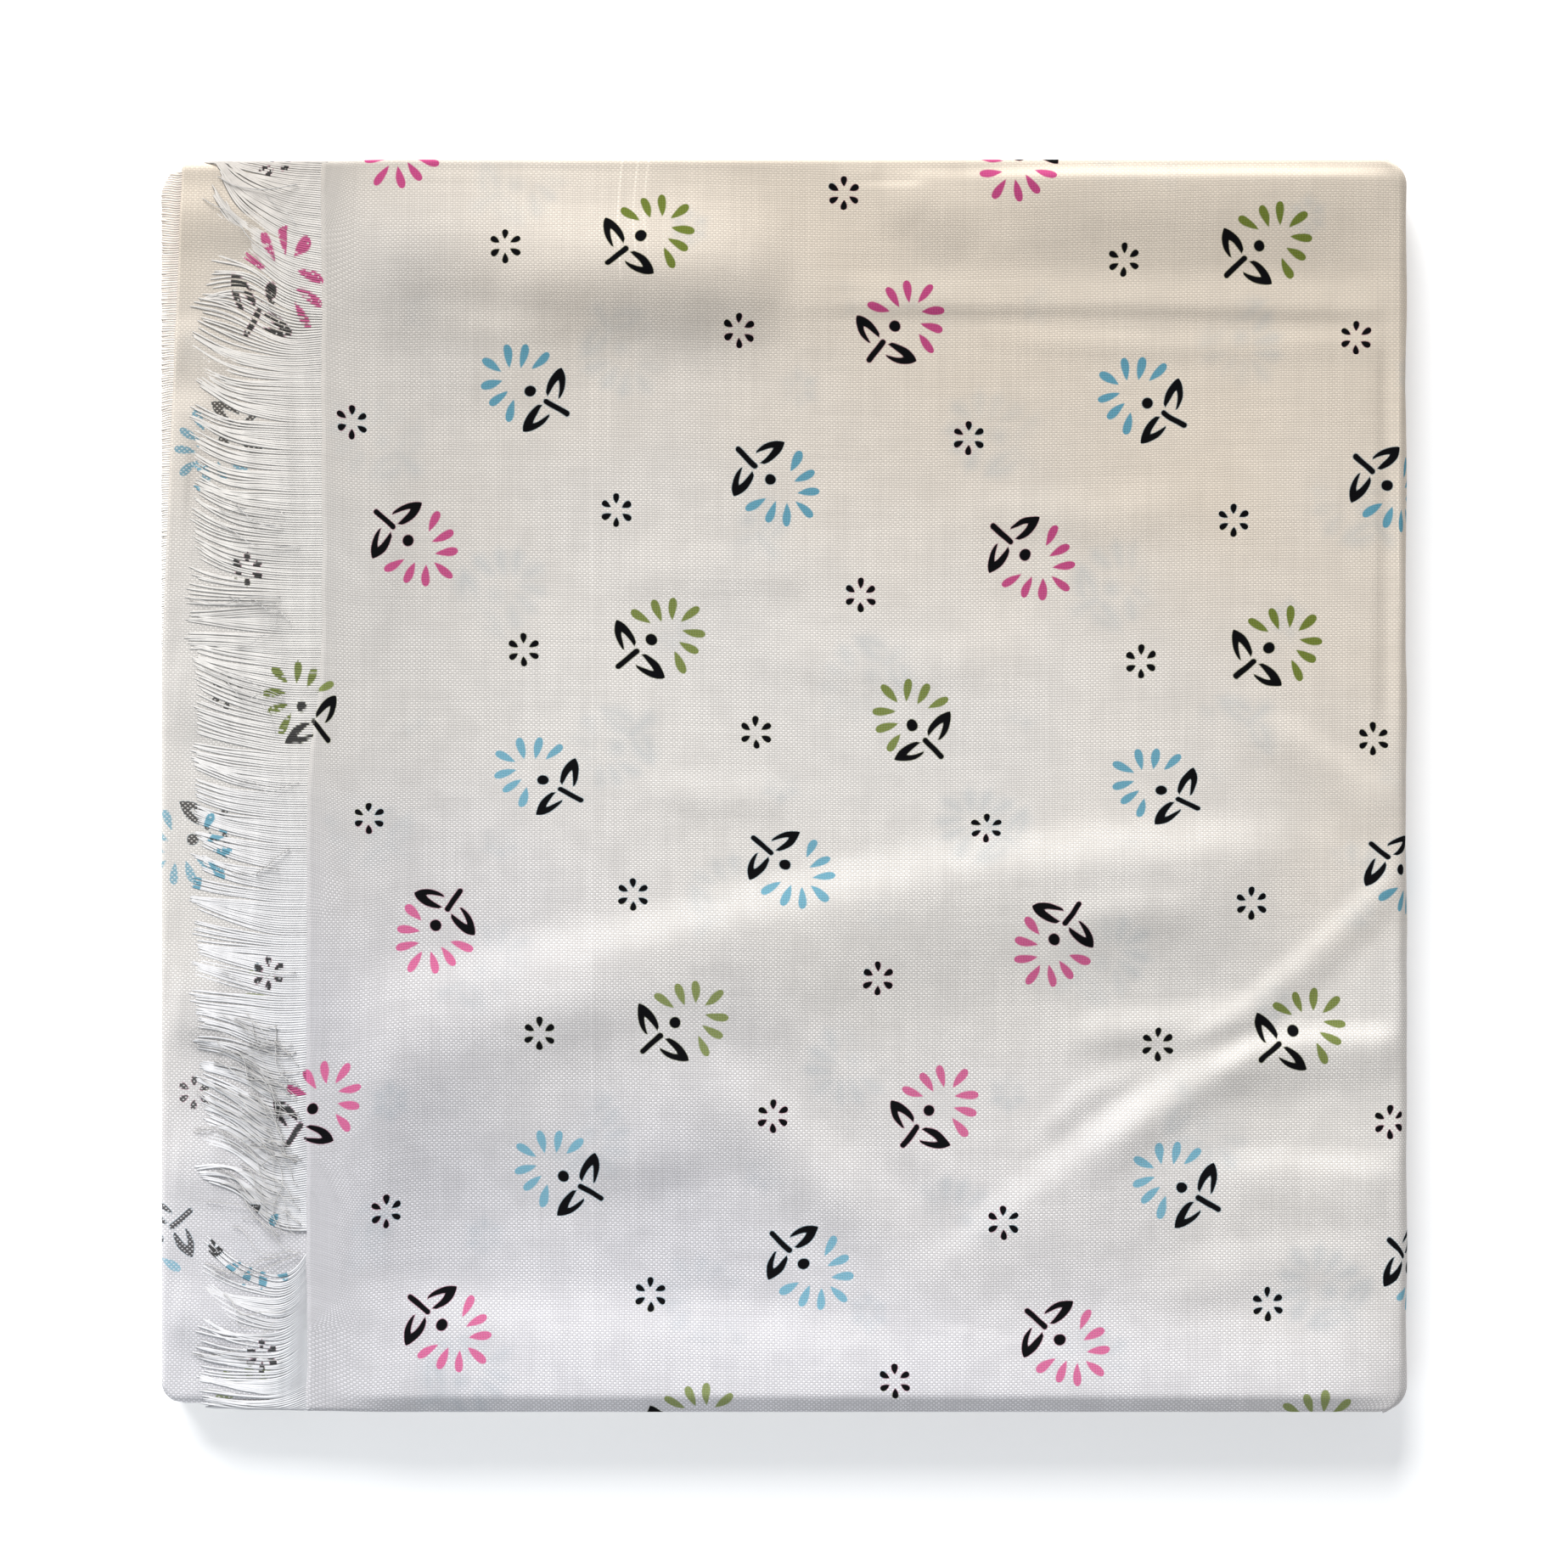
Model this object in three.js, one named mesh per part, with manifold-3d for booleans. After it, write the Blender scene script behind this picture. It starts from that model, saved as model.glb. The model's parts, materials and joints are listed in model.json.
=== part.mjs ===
// A printed cotton shawl with self-fringed ends, folded into a square pack that lies flat.
// Millimetres, +Z up. The pack rests on z = 0 with the origin under its middle, and both
// fringed ends of the cloth are at its -X side.
import * as THREE from "three";
import { mergeVertices } from "three/addons/utils/BufferGeometryUtils.js";
import Module from "manifold-3d";

// ---- Driving dimensions ----
const PACK_X = 295.8; // over everything, along X
const PACK_Y = 295.4; // over everything, along Y
const CORNER = 5.6; // radius of the pack's corners, seen from above
const GAP = 0.3; // between pieces that touch on the real pack

// The hidden layers: folded sets of three plies each, one on another.
const SETS = 6;
const SET_RISE = 1.55; // height of one folded set
const SET_DENT = 0.6; // depth of the groove between two sets
const LAYERS_TOP = SETS * SET_RISE;
// How far each set stands back from the pack's outline, from the lowest set up.
const SET_BACK = [
  { front: 0.3, back: 0.9, sway: 0.3 },
  { front: 1.1, back: 0.4, sway: 0.4 },
  { front: 0.5, back: 1.2, sway: 0.25 },
  { front: 1.4, back: 0.6, sway: 0.45 },
  { front: 0.7, back: 1.0, sway: 0.3 },
  { front: 1.2, back: 0.5, sway: 0.35 },
];
// The turns of cloth at the two X sides: the height each one spans, how far its outermost
// point stands back from the outline, and how deep it curves in above and below that point.
const LEFT_TURNS = [
  { from: 0, to: 6.2, back: 1.5, depth: 1.9 },
  { from: 6.2, to: LAYERS_TOP, back: 1.9, depth: 1.2 },
];
const RIGHT_TURNS = [{ from: -1.2, to: 11.2, back: 0.4, depth: 3.6 }];
const RING_STEPS = [0, 0.2, 0.5, 0.8]; // rings of the outline in the height of one set
const SIDE_STEPS = 8; // points along a straight side
const CORNER_STEPS = 3; // points round a corner

// The second fringed end, which shows along the -X side.
const UNDER_WALL = 1.0;
const UNDER_BOTTOM = LAYERS_TOP + GAP;
const UNDER_TOP = UNDER_BOTTOM + UNDER_WALL;
const UNDER_ROOT_X = -143.9; // where its cloth ends and its fringe begins
const UNDER_RIGHT_X = 145.9;
const UNDER_HALF_Y = 145.9;

// The top end of the cloth: three plies folded together, as one wall.
const TOP_WALL = 1.1;
const TOP_BOTTOM = UNDER_TOP + GAP;
const TOP_FACE = TOP_BOTTOM + TOP_WALL; // its level where no fold lifts it
const TOP_ROOT_X = -110.9; // where its cloth ends and its fringe begins
const EDGE_ROLL = 2.4; // radius of its rounded-over edges
const CELLS_X = 27;
const CELLS_Y = 29;

// Soft folds in the top end: a ridge from (x0, y0) through (x1, y1) to (x2, y2).
const FOLDS = [
  { x0: -104, y0: -46, x1: -15, y1: -27, x2: 101, y2: -15, half: 17, rise: 2.2 },
  { x0: 146, y0: -23, x1: 103, y1: -47, x2: 35, y2: -117, half: 11, rise: 2.0 },
  { x0: 134, y0: 1, x1: 141, y1: -2, x2: 147, y2: -5, half: 9, rise: 0.9 },
  { x0: 147, y0: -57, x1: 136, y1: -58, x2: 120, y2: -62, half: 9, rise: 0.8 },
  { x0: 128, y0: -80, x1: 103, y1: -104, x2: 80, y2: -134, half: 13, rise: 1.0 },
  { x0: -46, y0: -30, x1: -45, y1: -80, x2: -44, y2: -140, half: 9, rise: 0.5 },
  { x0: -95, y0: -70, x1: -50, y1: -66, x2: 0, y2: -74, half: 15, rise: 0.7 },
];

// Fringe: threads drawn into strands whose roots are fused into a narrow strip.
const STRIP_WIDTH = 1.8;
const TOP_STRANDS = 144;
const TOP_STRAND = { width: 0.8, height: 0.75 };
const TOP_TIP_X = -138.9;
const STRAND_STEPS = 4;
const STRAND_MARGIN = 1.4; // from the first and last root to the pack's edge
// How the top strands lie, by where their roots are along Y: how far the tip and the middle
// are swept along Y, and the share of the full length that the strand reaches.
const LIE = [
  { y: -148, tip: 0.5, middle: 0.4, reach: 0.86 },
  { y: -138, tip: -1.5, middle: -2.2, reach: 0.95 },
  { y: -120, tip: -3.5, middle: -3.6, reach: 1.0 },
  { y: -106, tip: -3.0, middle: -2.4, reach: 0.97 },
  { y: -94, tip: 5.5, middle: 2.2, reach: 1.0 },
  { y: -78, tip: 3.0, middle: 0.8, reach: 0.96 },
  { y: -66, tip: 0.5, middle: 1.0, reach: 0.9 },
  { y: -57, tip: -3.0, middle: -1.2, reach: 0.98 },
  { y: -46, tip: 0.5, middle: 0.6, reach: 1.03 },
  { y: 0, tip: 0.8, middle: 0.2, reach: 1.0 },
  { y: 32, tip: 2.0, middle: 0.4, reach: 1.02 },
  { y: 60, tip: 6.0, middle: 1.6, reach: 1.0 },
  { y: 88, tip: 7.0, middle: 2.0, reach: 0.98 },
  { y: 106, tip: 2.5, middle: 3.0, reach: 0.88 },
  { y: 126, tip: 8.5, middle: 2.6, reach: 0.95 },
  { y: 148, tip: 0, middle: 0, reach: 1.0 },
];
const UNDER_STRANDS = 56;
const UNDER_STRAND = { width: 1.3, height: 0.7 };
// The way a lower strand takes over the -X side and down it: distance in from the outline
// to its inner face, and height.
const UNDER_FALL = [
  { inset: 2.7, z: UNDER_BOTTOM + 0.25 },
  { inset: 1.5, z: UNDER_BOTTOM - 0.2 },
  { inset: 0.7, z: UNDER_BOTTOM - 2.0 },
  { inset: 0.7, z: UNDER_BOTTOM - 5.6 },
  { inset: 0.7, z: 0.5 },
];
const UNDER_LEAN = 2.6; // most that a lower strand leans along Y on its way down

const LAYERS_COLOUR = 0xe4e2de;
const CLOTH_COLOUR = 0xeeece8;
const THREAD_COLOUR = 0xf4f2ee;
const CLOTH_ROUGHNESS = 0.9;

// ---- Shared helpers ----
const wasm = await Module();
wasm.setup();

const point = (x, y, z) => new THREE.Vector3(x, y, z);
const mix = (a, b, t) => a + (b - a) * t;

/** Closed geometry from points and triangles of point numbers. */
function closedGeometry(points, triangles) {
  const geometry = new THREE.BufferGeometry().setFromPoints(points);
  geometry.setIndex(triangles);
  return geometry;
}

/** A body through rings of equal count, each end closed by a fan round its middle. */
function loft(rings) {
  const count = rings[0].length;
  const points = rings.flat();
  const triangles = [];
  for (let ring = 0; ring + 1 < rings.length; ring += 1) {
    for (let i = 0; i < count; i += 1) {
      const a = ring * count + i;
      const b = ring * count + ((i + 1) % count);
      triangles.push(a, b, b + count, a, b + count, a + count);
    }
  }
  for (const end of [0, rings.length - 1]) {
    const middle = point(0, 0, 0);
    rings[end].forEach((p) => middle.addScaledVector(p, 1 / count));
    points.push(middle);
    for (let i = 0; i < count; i += 1) {
      const a = end * count + i;
      const b = end * count + ((i + 1) % count);
      triangles.push(points.length - 1, ...(end === 0 ? [b, a] : [a, b]));
    }
  }
  return closedGeometry(points, triangles);
}

/** A geometry as a manifold-3d solid. */
function solid(geometry) {
  const merged = mergeVertices(geometry.clone(), 1e-4);
  return new wasm.Manifold(
    new wasm.Mesh({
      numProp: 3,
      vertProperties: merged.getAttribute("position").array,
      triVerts: new Uint32Array(merged.index.array),
    }),
  );
}

/** The bodies joined into one geometry. */
function joined(geometries) {
  const whole = geometries.map(solid).reduce((sum, body) => sum.add(body));
  const mesh = whole.getMesh();
  const geometry = new THREE.BufferGeometry();
  geometry.setAttribute("position", new THREE.BufferAttribute(mesh.vertProperties, 3));
  geometry.setIndex(new THREE.BufferAttribute(mesh.triVerts, 1));
  return geometry;
}

function clothMesh(name, geometry, colour) {
  const material = new THREE.MeshStandardMaterial({
    color: colour,
    roughness: CLOTH_ROUGHNESS,
    metalness: 0,
  });
  geometry.computeVertexNormals();
  const mesh = new THREE.Mesh(geometry, material);
  mesh.name = name;
  return mesh;
}

/**
 * Points round a rectangle with rounded corners, counter-clockwise from above, each with its
 * outward direction.
 */
function outline(left, right, halfY, radius) {
  const corners = [
    { x: right - radius, y: halfY - radius, turn: 0 },
    { x: left + radius, y: halfY - radius, turn: 1 },
    { x: left + radius, y: -halfY + radius, turn: 2 },
    { x: right - radius, y: -halfY + radius, turn: 3 },
  ];
  const points = [];
  corners.forEach((corner, k) => {
    const start = (corner.turn * Math.PI) / 2;
    for (let i = 0; i <= CORNER_STEPS; i += 1) {
      const angle = start + (i / CORNER_STEPS) * (Math.PI / 2);
      const nx = Math.cos(angle);
      const ny = Math.sin(angle);
      points.push({ x: corner.x + radius * nx, y: corner.y + radius * ny, nx, ny });
    }
    const from = points[points.length - 1];
    const next = corners[(k + 1) % 4];
    const to = { x: next.x + radius * from.nx, y: next.y + radius * from.ny };
    for (let i = 1; i < SIDE_STEPS; i += 1) {
      const t = i / SIDE_STEPS;
      points.push({ ...from, x: mix(from.x, to.x, t), y: mix(from.y, to.y, t) });
    }
  });
  return points;
}

// ---- Hidden layers ----
/** How far a turn of cloth stands back from the outline at height z. */
function turnInset(turns, z) {
  const turn = turns.find((t) => z <= t.to) ?? turns[turns.length - 1];
  const t = (2 * z - turn.from - turn.to) / (turn.to - turn.from);
  return turn.back + turn.depth * (1 - Math.sqrt(Math.max(0, 1 - t * t)));
}

function foldedLayers() {
  const around = outline(-PACK_X / 2, PACK_X / 2, PACK_Y / 2, CORNER);
  const rings = [];
  for (let set = 0; set < SETS; set += 1) {
    const steps = set === SETS - 1 ? [...RING_STEPS, 1] : RING_STEPS;
    for (const step of steps) {
      const z = (set + step) * SET_RISE;
      const groove = SET_DENT * (1 - Math.sqrt(1 - (2 * step - 1) ** 2));
      rings.push(
        around.map(({ x, y, nx, ny }) => {
          const side = ny > 0 ? SET_BACK[set].back : SET_BACK[set].front;
          const sway = SET_BACK[set].sway * Math.sin(x / 31 + 2.1 * set);
          const insetY = side + groove + sway;
          const insetX = turnInset(nx > 0 ? RIGHT_TURNS : LEFT_TURNS, z) + groove * 0.3;
          const inset = nx * nx * insetX + ny * ny * insetY;
          return point(x - nx * inset, y - ny * inset, z);
        }),
      );
    }
  }
  return clothMesh("folded_layers", loft(rings), LAYERS_COLOUR);
}

// ---- Second fringed end ----
function underLayer() {
  const around = outline(UNDER_ROOT_X, UNDER_RIGHT_X, UNDER_HALF_Y, CORNER);
  const sections = [
    { inset: 0.45, rise: 0 },
    { inset: 0, rise: 0.3 },
    { inset: 0, rise: 0.7 },
    { inset: 0.45, rise: 1 },
  ];
  const rings = sections.map(({ inset, rise }) =>
    around.map(({ x, y, nx, ny }) =>
      point(x - nx * inset, y - ny * inset, UNDER_BOTTOM + rise * UNDER_WALL),
    ),
  );
  return clothMesh("under_layer", loft(rings), CLOTH_COLOUR);
}

// ---- Top end ----
/** Distance from (x, y) to a straight stretch, and how far along it the nearest point is. */
function toStretch(x, y, ax, ay, bx, by) {
  const lengthSquared = (bx - ax) ** 2 + (by - ay) ** 2;
  const along = ((x - ax) * (bx - ax) + (y - ay) * (by - ay)) / lengthSquared;
  const t = THREE.MathUtils.clamp(along, 0, 1);
  return { distance: Math.hypot(x - mix(ax, bx, t), y - mix(ay, by, t)), t };
}

/** Height that the soft folds add at (x, y): the tallest fold there. */
function foldRise(x, y) {
  let rise = 0;
  for (const fold of FOLDS) {
    const first = toStretch(x, y, fold.x0, fold.y0, fold.x1, fold.y1);
    const second = toStretch(x, y, fold.x1, fold.y1, fold.x2, fold.y2);
    const nearest = first.distance < second.distance ? first : second;
    const along = first.distance < second.distance ? first.t / 2 : 0.5 + second.t / 2;
    if (nearest.distance >= fold.half) continue;
    const across = 0.5 + 0.5 * Math.cos((Math.PI * nearest.distance) / fold.half);
    const taper = 0.45 + 0.55 * Math.sin(Math.PI * along);
    rise = Math.max(rise, fold.rise * across * taper);
  }
  return rise;
}

/** Distance in from the pack's outline, which the cloth's own end at -X doesn't count in. */
function insideOutline(x, y) {
  const fromRight = PACK_X / 2 - x;
  const fromSide = PACK_Y / 2 - Math.abs(y);
  if (fromRight < CORNER && fromSide < CORNER)
    return CORNER - Math.hypot(CORNER - fromRight, CORNER - fromSide);
  return Math.min(fromRight, fromSide);
}

/** Height of the top end's upper face, which rolls down at the pack's edges. */
function topHeight(x, y) {
  const inside = Math.max(insideOutline(x, y), 0.04 * EDGE_ROLL);
  const short = Math.max(EDGE_ROLL - inside, 0);
  const drop = EDGE_ROLL - Math.sqrt(EDGE_ROLL ** 2 - short ** 2);
  const settle = THREE.MathUtils.smoothstep(inside, 0, 14);
  const fromRoot = THREE.MathUtils.smoothstep(x - TOP_ROOT_X, 0, 12);
  return TOP_FACE - drop + foldRise(x, y) * settle * fromRoot;
}

/** Stations from low to high, with close ones where the edges roll over. */
function stations(low, high, cells, rollLow, rollHigh) {
  const edge = [0, 0.12 * EDGE_ROLL, 0.45 * EDGE_ROLL, EDGE_ROLL];
  const start = rollLow ? edge.map((d) => low + d) : [low];
  const end = rollHigh ? edge.map((d) => high - d).reverse() : [high];
  const from = start[start.length - 1];
  const to = end[0];
  const inner = cells - (start.length - 1) - (end.length - 1);
  const between = Array.from({ length: inner - 1 }, (_, i) => mix(from, to, (i + 1) / inner));
  return [...start, ...between, ...end];
}

/** A point of the square corner drawn in onto the rounded one. */
function roundedCorner(x, y) {
  const a = (x - (PACK_X / 2 - CORNER)) / CORNER;
  const b = (Math.abs(y) - (PACK_Y / 2 - CORNER)) / CORNER;
  if (a <= 0 || b <= 0) return { x, y };
  return {
    x: PACK_X / 2 - CORNER + CORNER * a * Math.sqrt(1 - (b * b) / 2),
    y: Math.sign(y) * (PACK_Y / 2 - CORNER + CORNER * b * Math.sqrt(1 - (a * a) / 2)),
  };
}

function topLayer() {
  const xs = stations(TOP_ROOT_X, PACK_X / 2, CELLS_X, false, true);
  const ys = stations(-PACK_Y / 2, PACK_Y / 2, CELLS_Y, true, true);
  const upper = [];
  const lower = [];
  const probe = 0.05;
  for (const squareY of ys) {
    for (const squareX of xs) {
      const { x, y } = roundedCorner(squareX, squareY);
      const z = topHeight(x, y);
      const slopeX = (z - topHeight(x - probe, y)) / probe;
      const inward = -Math.sign(y);
      const slopeY = (inward * (topHeight(x, y + inward * probe) - z)) / probe;
      const normal = point(-slopeX, -slopeY, 1).normalize();
      upper.push(point(x, y, z));
      lower.push(point(x, y, z).addScaledVector(normal, -TOP_WALL));
    }
  }
  const columns = xs.length;
  const rows = ys.length;
  const size = columns * rows;
  const triangles = [];
  for (let j = 0; j + 1 < rows; j += 1) {
    for (let i = 0; i + 1 < columns; i += 1) {
      const a = j * columns + i;
      const b = a + 1;
      const c = b + columns;
      const d = a + columns;
      triangles.push(a, b, c, a, c, d);
      triangles.push(size + a, size + c, size + b, size + a, size + d, size + c);
    }
  }
  const rim = [];
  for (let i = 0; i < columns; i += 1) rim.push(i);
  for (let j = 1; j < rows; j += 1) rim.push(j * columns + columns - 1);
  for (let i = columns - 2; i >= 0; i -= 1) rim.push((rows - 1) * columns + i);
  for (let j = rows - 2; j > 0; j -= 1) rim.push(j * columns);
  rim.forEach((a, k) => {
    const b = rim[(k + 1) % rim.length];
    triangles.push(b, a, size + a, b, size + a, size + b);
  });
  const geometry = closedGeometry([...upper, ...lower], triangles);
  return clothMesh("top_layer", geometry, CLOTH_COLOUR);
}

// ---- Fringes ----
/** A three-sided strand along points, its flat side towards the cloth it lies on. */
function strand(path, { width, height }) {
  const sideways = point(0, 1, 0);
  const rings = path.map((p, i) => {
    const before = path[Math.max(i - 1, 0)];
    const after = path[Math.min(i + 1, path.length - 1)];
    const tangent = after.clone().sub(before).normalize();
    const across = sideways.clone().addScaledVector(tangent, -tangent.y).normalize();
    const up = across.clone().cross(tangent);
    return [
      p.clone().addScaledVector(across, -width / 2),
      p.clone().addScaledVector(across, width / 2),
      p.clone().addScaledVector(up, height),
    ];
  });
  return loft(rings.map((ring) => ring.reverse()));
}

/** The row of a table with a y column that holds at y, between its two nearest rows. */
function lieAt(y) {
  const k = Math.max(1, LIE.findIndex((row) => row.y >= y));
  const low = LIE[k - 1];
  const high = LIE[k];
  const t = THREE.MathUtils.smoothstep(y, low.y, high.y);
  return {
    tip: mix(low.tip, high.tip, t),
    middle: mix(low.middle, high.middle, t),
    reach: mix(low.reach, high.reach, t),
  };
}

/** The bar that holds the roots of a fringe, with its outer face at -X. */
function strip(rightX, halfY, bottom, top) {
  const leftX = rightX - STRIP_WIDTH;
  const section = (y, shrink) => [
    point(leftX + shrink, y, bottom),
    point(leftX, y, mix(bottom, top, 0.5)),
    point(leftX + shrink, y, top),
    point(rightX, y, top),
    point(rightX, y, bottom),
  ];
  return loft([section(-halfY, 0.5), section(halfY, 0.5)]);
}

function topFringe() {
  const rightX = TOP_ROOT_X - GAP;
  const halfY = PACK_Y / 2 - EDGE_ROLL / 2;
  const pieces = [strip(rightX, halfY, TOP_BOTTOM, TOP_FACE - 0.2)];
  const lying = UNDER_TOP + GAP;
  for (let i = 0; i < TOP_STRANDS; i += 1) {
    const y = mix(-1, 1, i / (TOP_STRANDS - 1)) * (PACK_Y / 2 - STRAND_MARGIN);
    const { tip, middle, reach } = lieAt(y);
    const rootX = rightX - STRIP_WIDTH / 2;
    const uneven = 0.94 + 0.06 * Math.sin(2.4 * i) * Math.sin(0.9 * i + 1);
    const tipX = mix(rootX, TOP_TIP_X, reach * uneven);
    const path = [];
    for (let step = 0; step <= STRAND_STEPS; step += 1) {
      const t = step / STRAND_STEPS;
      const sweep = 4 * t * (1 - t) * middle + t * (2 * t - 1) * tip;
      path.push(point(mix(rootX, tipX, t), y + sweep, lying));
    }
    pieces.push(strand(path, TOP_STRAND));
  }
  return clothMesh("top_fringe", joined(pieces), THREAD_COLOUR);
}

function underFringe() {
  const rightX = UNDER_ROOT_X - GAP;
  const halfY = UNDER_HALF_Y - CORNER;
  const pieces = [strip(rightX, halfY, UNDER_BOTTOM, UNDER_TOP)];
  for (let i = 0; i < UNDER_STRANDS; i += 1) {
    const y = mix(-1, 1, i / (UNDER_STRANDS - 1)) * (halfY - UNDER_LEAN - STRAND_MARGIN);
    const lean = UNDER_LEAN * Math.sin(0.31 * i) * Math.cos(0.11 * i);
    const path = UNDER_FALL.map(({ inset, z }, step) => {
      const t = step / (UNDER_FALL.length - 1);
      return point(-PACK_X / 2 + inset, y + lean * t * t, z);
    });
    pieces.push(strand(path, UNDER_STRAND));
  }
  return clothMesh("under_fringe", joined(pieces), THREAD_COLOUR);
}

// ---- The pack ----
const shawl = new THREE.Group();
shawl.add(foldedLayers(), underLayer(), topLayer(), topFringe(), underFringe());

export default shawl;
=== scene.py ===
"""A printed cotton shawl with self-fringed ends, folded into a flat square pack.

Sizes in the tables are millimetres of the real cloth, in the part's frame: +Z up, the pack
on z = 0, its fringed ends towards -X. Meshes are in metres.
"""
import json
import math
import random

import bmesh
import bpy
import numpy as np
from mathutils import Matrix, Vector, noise

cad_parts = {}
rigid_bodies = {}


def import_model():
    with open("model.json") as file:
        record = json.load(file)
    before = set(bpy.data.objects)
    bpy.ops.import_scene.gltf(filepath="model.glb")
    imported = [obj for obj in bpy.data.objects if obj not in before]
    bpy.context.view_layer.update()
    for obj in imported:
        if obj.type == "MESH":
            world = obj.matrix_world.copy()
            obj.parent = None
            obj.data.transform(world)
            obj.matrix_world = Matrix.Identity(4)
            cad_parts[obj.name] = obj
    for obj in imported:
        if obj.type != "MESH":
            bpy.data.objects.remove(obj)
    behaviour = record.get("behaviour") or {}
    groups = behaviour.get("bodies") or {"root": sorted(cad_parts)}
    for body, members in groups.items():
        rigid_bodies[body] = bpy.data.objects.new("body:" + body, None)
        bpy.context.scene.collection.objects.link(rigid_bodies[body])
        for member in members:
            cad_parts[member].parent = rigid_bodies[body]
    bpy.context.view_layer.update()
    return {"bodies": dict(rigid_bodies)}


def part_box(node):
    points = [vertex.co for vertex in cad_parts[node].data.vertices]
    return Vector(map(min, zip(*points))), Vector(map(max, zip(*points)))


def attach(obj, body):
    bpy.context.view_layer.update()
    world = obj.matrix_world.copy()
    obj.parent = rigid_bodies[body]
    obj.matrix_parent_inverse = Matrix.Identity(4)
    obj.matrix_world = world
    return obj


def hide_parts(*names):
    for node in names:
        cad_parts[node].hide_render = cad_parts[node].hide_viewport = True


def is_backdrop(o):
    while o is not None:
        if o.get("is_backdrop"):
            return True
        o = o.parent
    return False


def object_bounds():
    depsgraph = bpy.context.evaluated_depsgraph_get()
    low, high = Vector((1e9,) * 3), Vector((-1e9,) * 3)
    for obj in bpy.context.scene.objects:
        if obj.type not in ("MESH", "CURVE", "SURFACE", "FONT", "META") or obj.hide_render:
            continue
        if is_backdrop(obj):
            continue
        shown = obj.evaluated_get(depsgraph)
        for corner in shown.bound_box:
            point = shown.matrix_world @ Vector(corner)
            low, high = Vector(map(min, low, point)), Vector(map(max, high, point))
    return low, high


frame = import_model()

MM = 0.001


def rows_of(columns, rows):
    """A table with named columns, one dict to a row."""
    return [dict(zip(columns.split(), row)) for row in rows]


# ---- Sizes taken from the frame ----
BODY = next(iter(frame["bodies"]))
PACK_LOW, PACK_HIGH = (np.array(c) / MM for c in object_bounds())
TOP_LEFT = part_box("top_layer")[0][0] / MM
UNDER_LOW, UNDER_HIGH = (np.array(c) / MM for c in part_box("under_layer"))
LAYERS_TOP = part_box("folded_layers")[1][2] / MM
FRINGE_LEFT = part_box("top_fringe")[0][0] / MM

# ---- The cloth ----
CORNER = 5.6  # radius of the pack's corners, seen from above
PLY = 0.8  # wall of the top cloth: three plies of thin cotton pressed together
UNDER_PLY = 0.6  # wall of the second end, which is pressed thinner
FACE = 12.4  # level of the top cloth where no fold lifts it
EDGE_SINK = 1.3  # how far the fringed edge of the top cloth sinks to the cloth below
STEP_LOW, STEP_HIGH = -8, 36  # along Y, where that edge steps in
EDGE_NEAR, EDGE_FAR = TOP_LEFT - 2.0, TOP_LEFT + 1.6  # where it stands, either side of that
TUCK = 1.4  # how far the drawn threads reach back under the edge of their weave
THREAD_STEPS = 22  # straight pieces in each drawn thread
DRAPE = 8  # how far from their roots the top end's threads have come down to rest
HANG = 8  # how far they may hang down past the pack's long sides
THREAD = 0.288  # half the width of a drawn thread, pressed flat
THREAD_FLAT = 0.12  # height of a lying thread as a share of its width
WARP_PITCH = 0.60  # between threads that run along Y
WEFT_PITCH = 0.55  # between threads that run along X
FAR_CORNER = 8.4  # radius of the corner at -X, +Y, where the second end lies slack
UNDER_FAR, UNDER_NEAR = 147.3, 146.0  # how far the second end reaches towards +Y and -Y
UNDER_ROLL = 2.0  # radius of its edges where they round over the pack's sides
SLANT_LOW = 28.0  # the slant of its drawn edge runs out of sight at this place along Y
SETS = 6  # folded sets of plies in the hidden layers

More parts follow.
